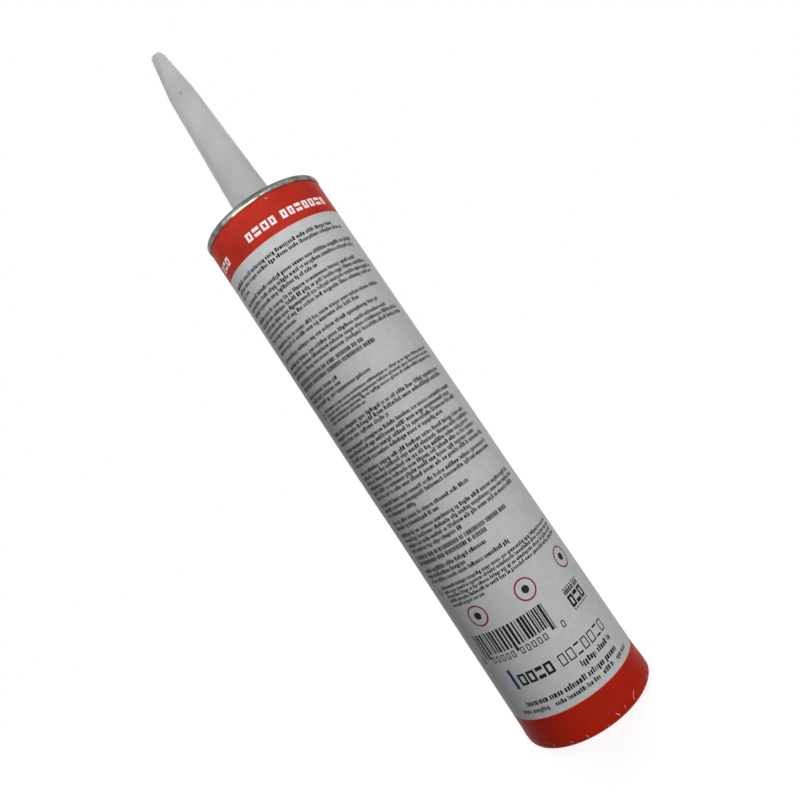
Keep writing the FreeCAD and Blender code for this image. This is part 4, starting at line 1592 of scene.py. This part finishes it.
@dataclass(frozen=True)
class Studio:
    """A pale floor, a white backdrop and soft lamps."""

    ambient: float = 0.05
    floor_size: float = 6.0
    floor_glow: float = 0.84
    floor_near: float = 0.12
    floor_far: float = 0.45
    floor_colour: str = "BEBEBE"
    floor_shade: str = "B4B4B4"
    lamps: tuple[Softbox, ...] = (
        Softbox("key_softbox", (0.32, -0.87, 0.10), (0.0, 0.0, 0.10), 0.30, 0.50, 8.1),
        Softbox("near_softbox", (-0.16, -0.20, 0.36), (0.0, 0.0, 0.21), 0.10, 0.14, 0.033),
        Softbox("front_softbox", (0.10, -0.24, 0.36), (0.0, 0.0, 0.19), 0.10, 0.14, 0.030),
        Softbox("nozzle_softbox", (-0.30, -0.28, 0.27), (0.0, 0.0, 0.250), 0.06, 0.08, 0.0216, 24.0),
        Softbox("nozzle_fill", (0.36, -0.10, 0.28), (0.0, 0.0, 0.250), 0.06, 0.08, 0.0055, 14.0),
        Softbox("back_left_softbox", (-0.42, 0.90, 0.50), (0.0, 0.0, 0.13), 0.50, 0.70, 4.5, in_gloss=False),
        Softbox("back_right_softbox", (0.42, 0.90, 0.50), (0.0, 0.0, 0.13), 0.50, 0.70, 4.5, in_gloss=False),
    )

    def seen_directly(self, tree: Any) -> Any:
        """A value of 1 for camera, glossy and transmission rays, and 0 for the others."""
        path = add_node(tree, "ShaderNodeLightPath")
        some = computed(tree, "MAXIMUM", path.outputs["Is Camera Ray"], path.outputs["Is Glossy Ray"])
        return computed(tree, "MAXIMUM", some, path.outputs["Is Transmission Ray"])

    def build_world(self) -> None:
        """Makes the world: an even ambient light that looks white to the camera and in reflections."""
        world = bpy.data.worlds.new("studio_world")
        world.use_nodes = True
        bpy.context.scene.world = world
        tree = world.node_tree
        strength = ranged(tree, self.seen_directly(tree), 0.0, 1.0, self.ambient, 1.0)
        tree.links.new(strength, tree.nodes["Background"].inputs["Strength"])
        tree.nodes["Background"].inputs["Color"].default_value = (1.0, 1.0, 1.0, 1.0)

    def build_floor(self) -> None:
        """Makes the floor: pale, a little glowing to the camera so that it reads white, with shadows kept."""
        half = self.floor_size / 2.0 / MM
        corners = np.array([[-half, -half, 0.0], [half, -half, 0.0], [half, half, 0.0], [-half, half, 0.0]])
        mesh = mesh_from("floor", corners, [np.array([[0, 1, 2, 3]])])
        material, tree, shader = new_material("pale_floor")
        place = add_node(tree, "ShaderNodeTexCoord").outputs["Object"]
        speck = noise_at(tree, place, 40.0)
        colour = mixed(tree, speck, linear_colour(self.floor_shade), linear_colour(self.floor_colour))
        tree.links.new(colour, shader.inputs["Base Color"])
        shader.inputs["Roughness"].default_value = 0.9
        shader.inputs["Specular IOR Level"].default_value = 0.0
        shader.inputs["Emission Color"].default_value = (1.0, 1.0, 1.0, 1.0)
        away = add_node(tree, "ShaderNodeVectorMath", settings={"operation": "LENGTH"}, links={0: place})
        glow = ranged(tree, away.outputs["Value"], self.floor_near, self.floor_far, self.floor_glow, 1.0)
        seen = computed(tree, "MULTIPLY", self.seen_directly(tree), glow)
        tree.links.new(seen, shader.inputs["Emission Strength"])
        mesh.materials.append(material)
        floor = bpy.data.objects.new("floor", mesh)
        bpy.context.scene.collection.objects.link(floor)

    def build(self) -> None:
        """Adds world, floor and lamps, and sets the plain view transform."""
        bpy.context.scene.view_settings.view_transform = "Standard"
        self.build_world()
        self.build_floor()
        for lamp in self.lamps:
            lamp.build()
        log.info("studio: %d lamps", len(self.lamps))


@dataclass(frozen=True)
class PhotoCamera:
    """The photograph's camera, solved from the cartridge's outline in the 800 by 800 picture."""

    aside: float = 0.22
    distance: float = 271.67
    height: float = 117.73
    yaw: float = -0.730
    pitch: float = 5.998
    roll: float = -33.786
    focal_pixels: float = 719.03
    centre_x: float = 355.1
    centre_y: float = 369.6
    frame_pixels: float = 800.0
    sensor_mm: float = 36.0

    def build(self) -> None:
        """Adds the camera. It looks along +Y, turned by yaw and pitch, then rolled about its own axis.

        Its small shift is the way from the lens's centre in the picture to the frame's middle.
        """
        yaw, pitch, roll = (math.radians(v) for v in (self.yaw, self.pitch, self.roll))
        ahead = np.array([math.sin(yaw) * math.cos(pitch), math.cos(yaw) * math.cos(pitch), math.sin(pitch)])
        level = np.array([math.cos(yaw), -math.sin(yaw), 0.0])
        upright = np.cross(level, ahead)
        right = math.cos(roll) * level + math.sin(roll) * upright
        up = -math.sin(roll) * level + math.cos(roll) * upright
        lens = bpy.data.cameras.new("photo_camera")
        lens.sensor_width = self.sensor_mm
        lens.lens = self.focal_pixels / self.frame_pixels * self.sensor_mm
        lens.shift_x = (self.frame_pixels / 2.0 - self.centre_x) / self.frame_pixels
        lens.shift_y = (self.centre_y - self.frame_pixels / 2.0) / self.frame_pixels
        lens.clip_start, lens.clip_end = 0.01, 20.0
        camera = bpy.data.objects.new("photo_camera", lens)
        bpy.context.scene.collection.objects.link(camera)
        place = Vector((self.aside * MM, -self.distance * MM, self.height * MM))
        turn = Matrix(np.stack([right, up, -ahead], axis=1).tolist())
        camera.matrix_world = Matrix.Translation(place) @ turn.to_4x4()
        bpy.context.scene.camera = camera


@dataclass
class Cartridge:
    """The whole cartridge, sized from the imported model."""

    def build(self) -> None:
        """Builds every sub-assembly in order, from the tube inwards."""
        _, wrap_high = mm_box("printed_label")
        end_low, end_high = mm_box("front_end")
        nozzle_low, nozzle_high = mm_box("nozzle")
        foil_low, foil_high = mm_box("foil_seal")
        fill_low, fill_high = mm_box("sealant")
        plunger_low, plunger_high = mm_box("plunger")
        bead_rise = WallSurface.rear_bead_rise
        surface = WallSurface(radius=wrap_high[0] - bead_rise, rim_height=end_high[2])
        BoardTube(surface).build(WoundBoard())
        PrintedWrap(surface).build(CoatedPaper())
        Printing(surface).build({
            Ink.BLACK: PrintInk(Ink.BLACK, "101113", "1C1E20"),
            Ink.GREY: PrintInk(Ink.GREY, "232528", "303336"),
            Ink.WHITE: PrintInk(Ink.WHITE, "EADBD8", "F6EFED"),
            Ink.RED: PrintInk(Ink.RED, "7E1F26", "8E2A30"),
            Ink.BLUE: PrintInk(Ink.BLUE, "222E5C", "2B3868"),
        })
        EdgeWear(surface).build(WornPaper())
        TinEnd(surface, end_high[2], end_high[0], end_low[2], Nozzle.root_radius + 0.12).build(TarnishedTinplate())
        Nozzle(nozzle_low[2], nozzle_high[2], nozzle_high[0]).build(MouldedPolyethylene())
        FoilSeal(foil_high[0], foil_low[2], foil_high[2]).build(SoftFoil())
        Fill(fill_high[0], fill_low[2], fill_high[2], nozzle_high[0] + 0.3, 1.72).build(SealantPaste())
        Plunger(plunger_high[0], plunger_low[2], plunger_high[2]).build(DrawnTinplate())


def main() -> None:
    """Builds the camera, the cartridge and the studio, in that order."""
    logging.basicConfig(level=logging.INFO, format="%(name)s: %(message)s")
    PhotoCamera().build()
    Cartridge().build()
    Studio().build()


if __name__ == "__main__":
    main()
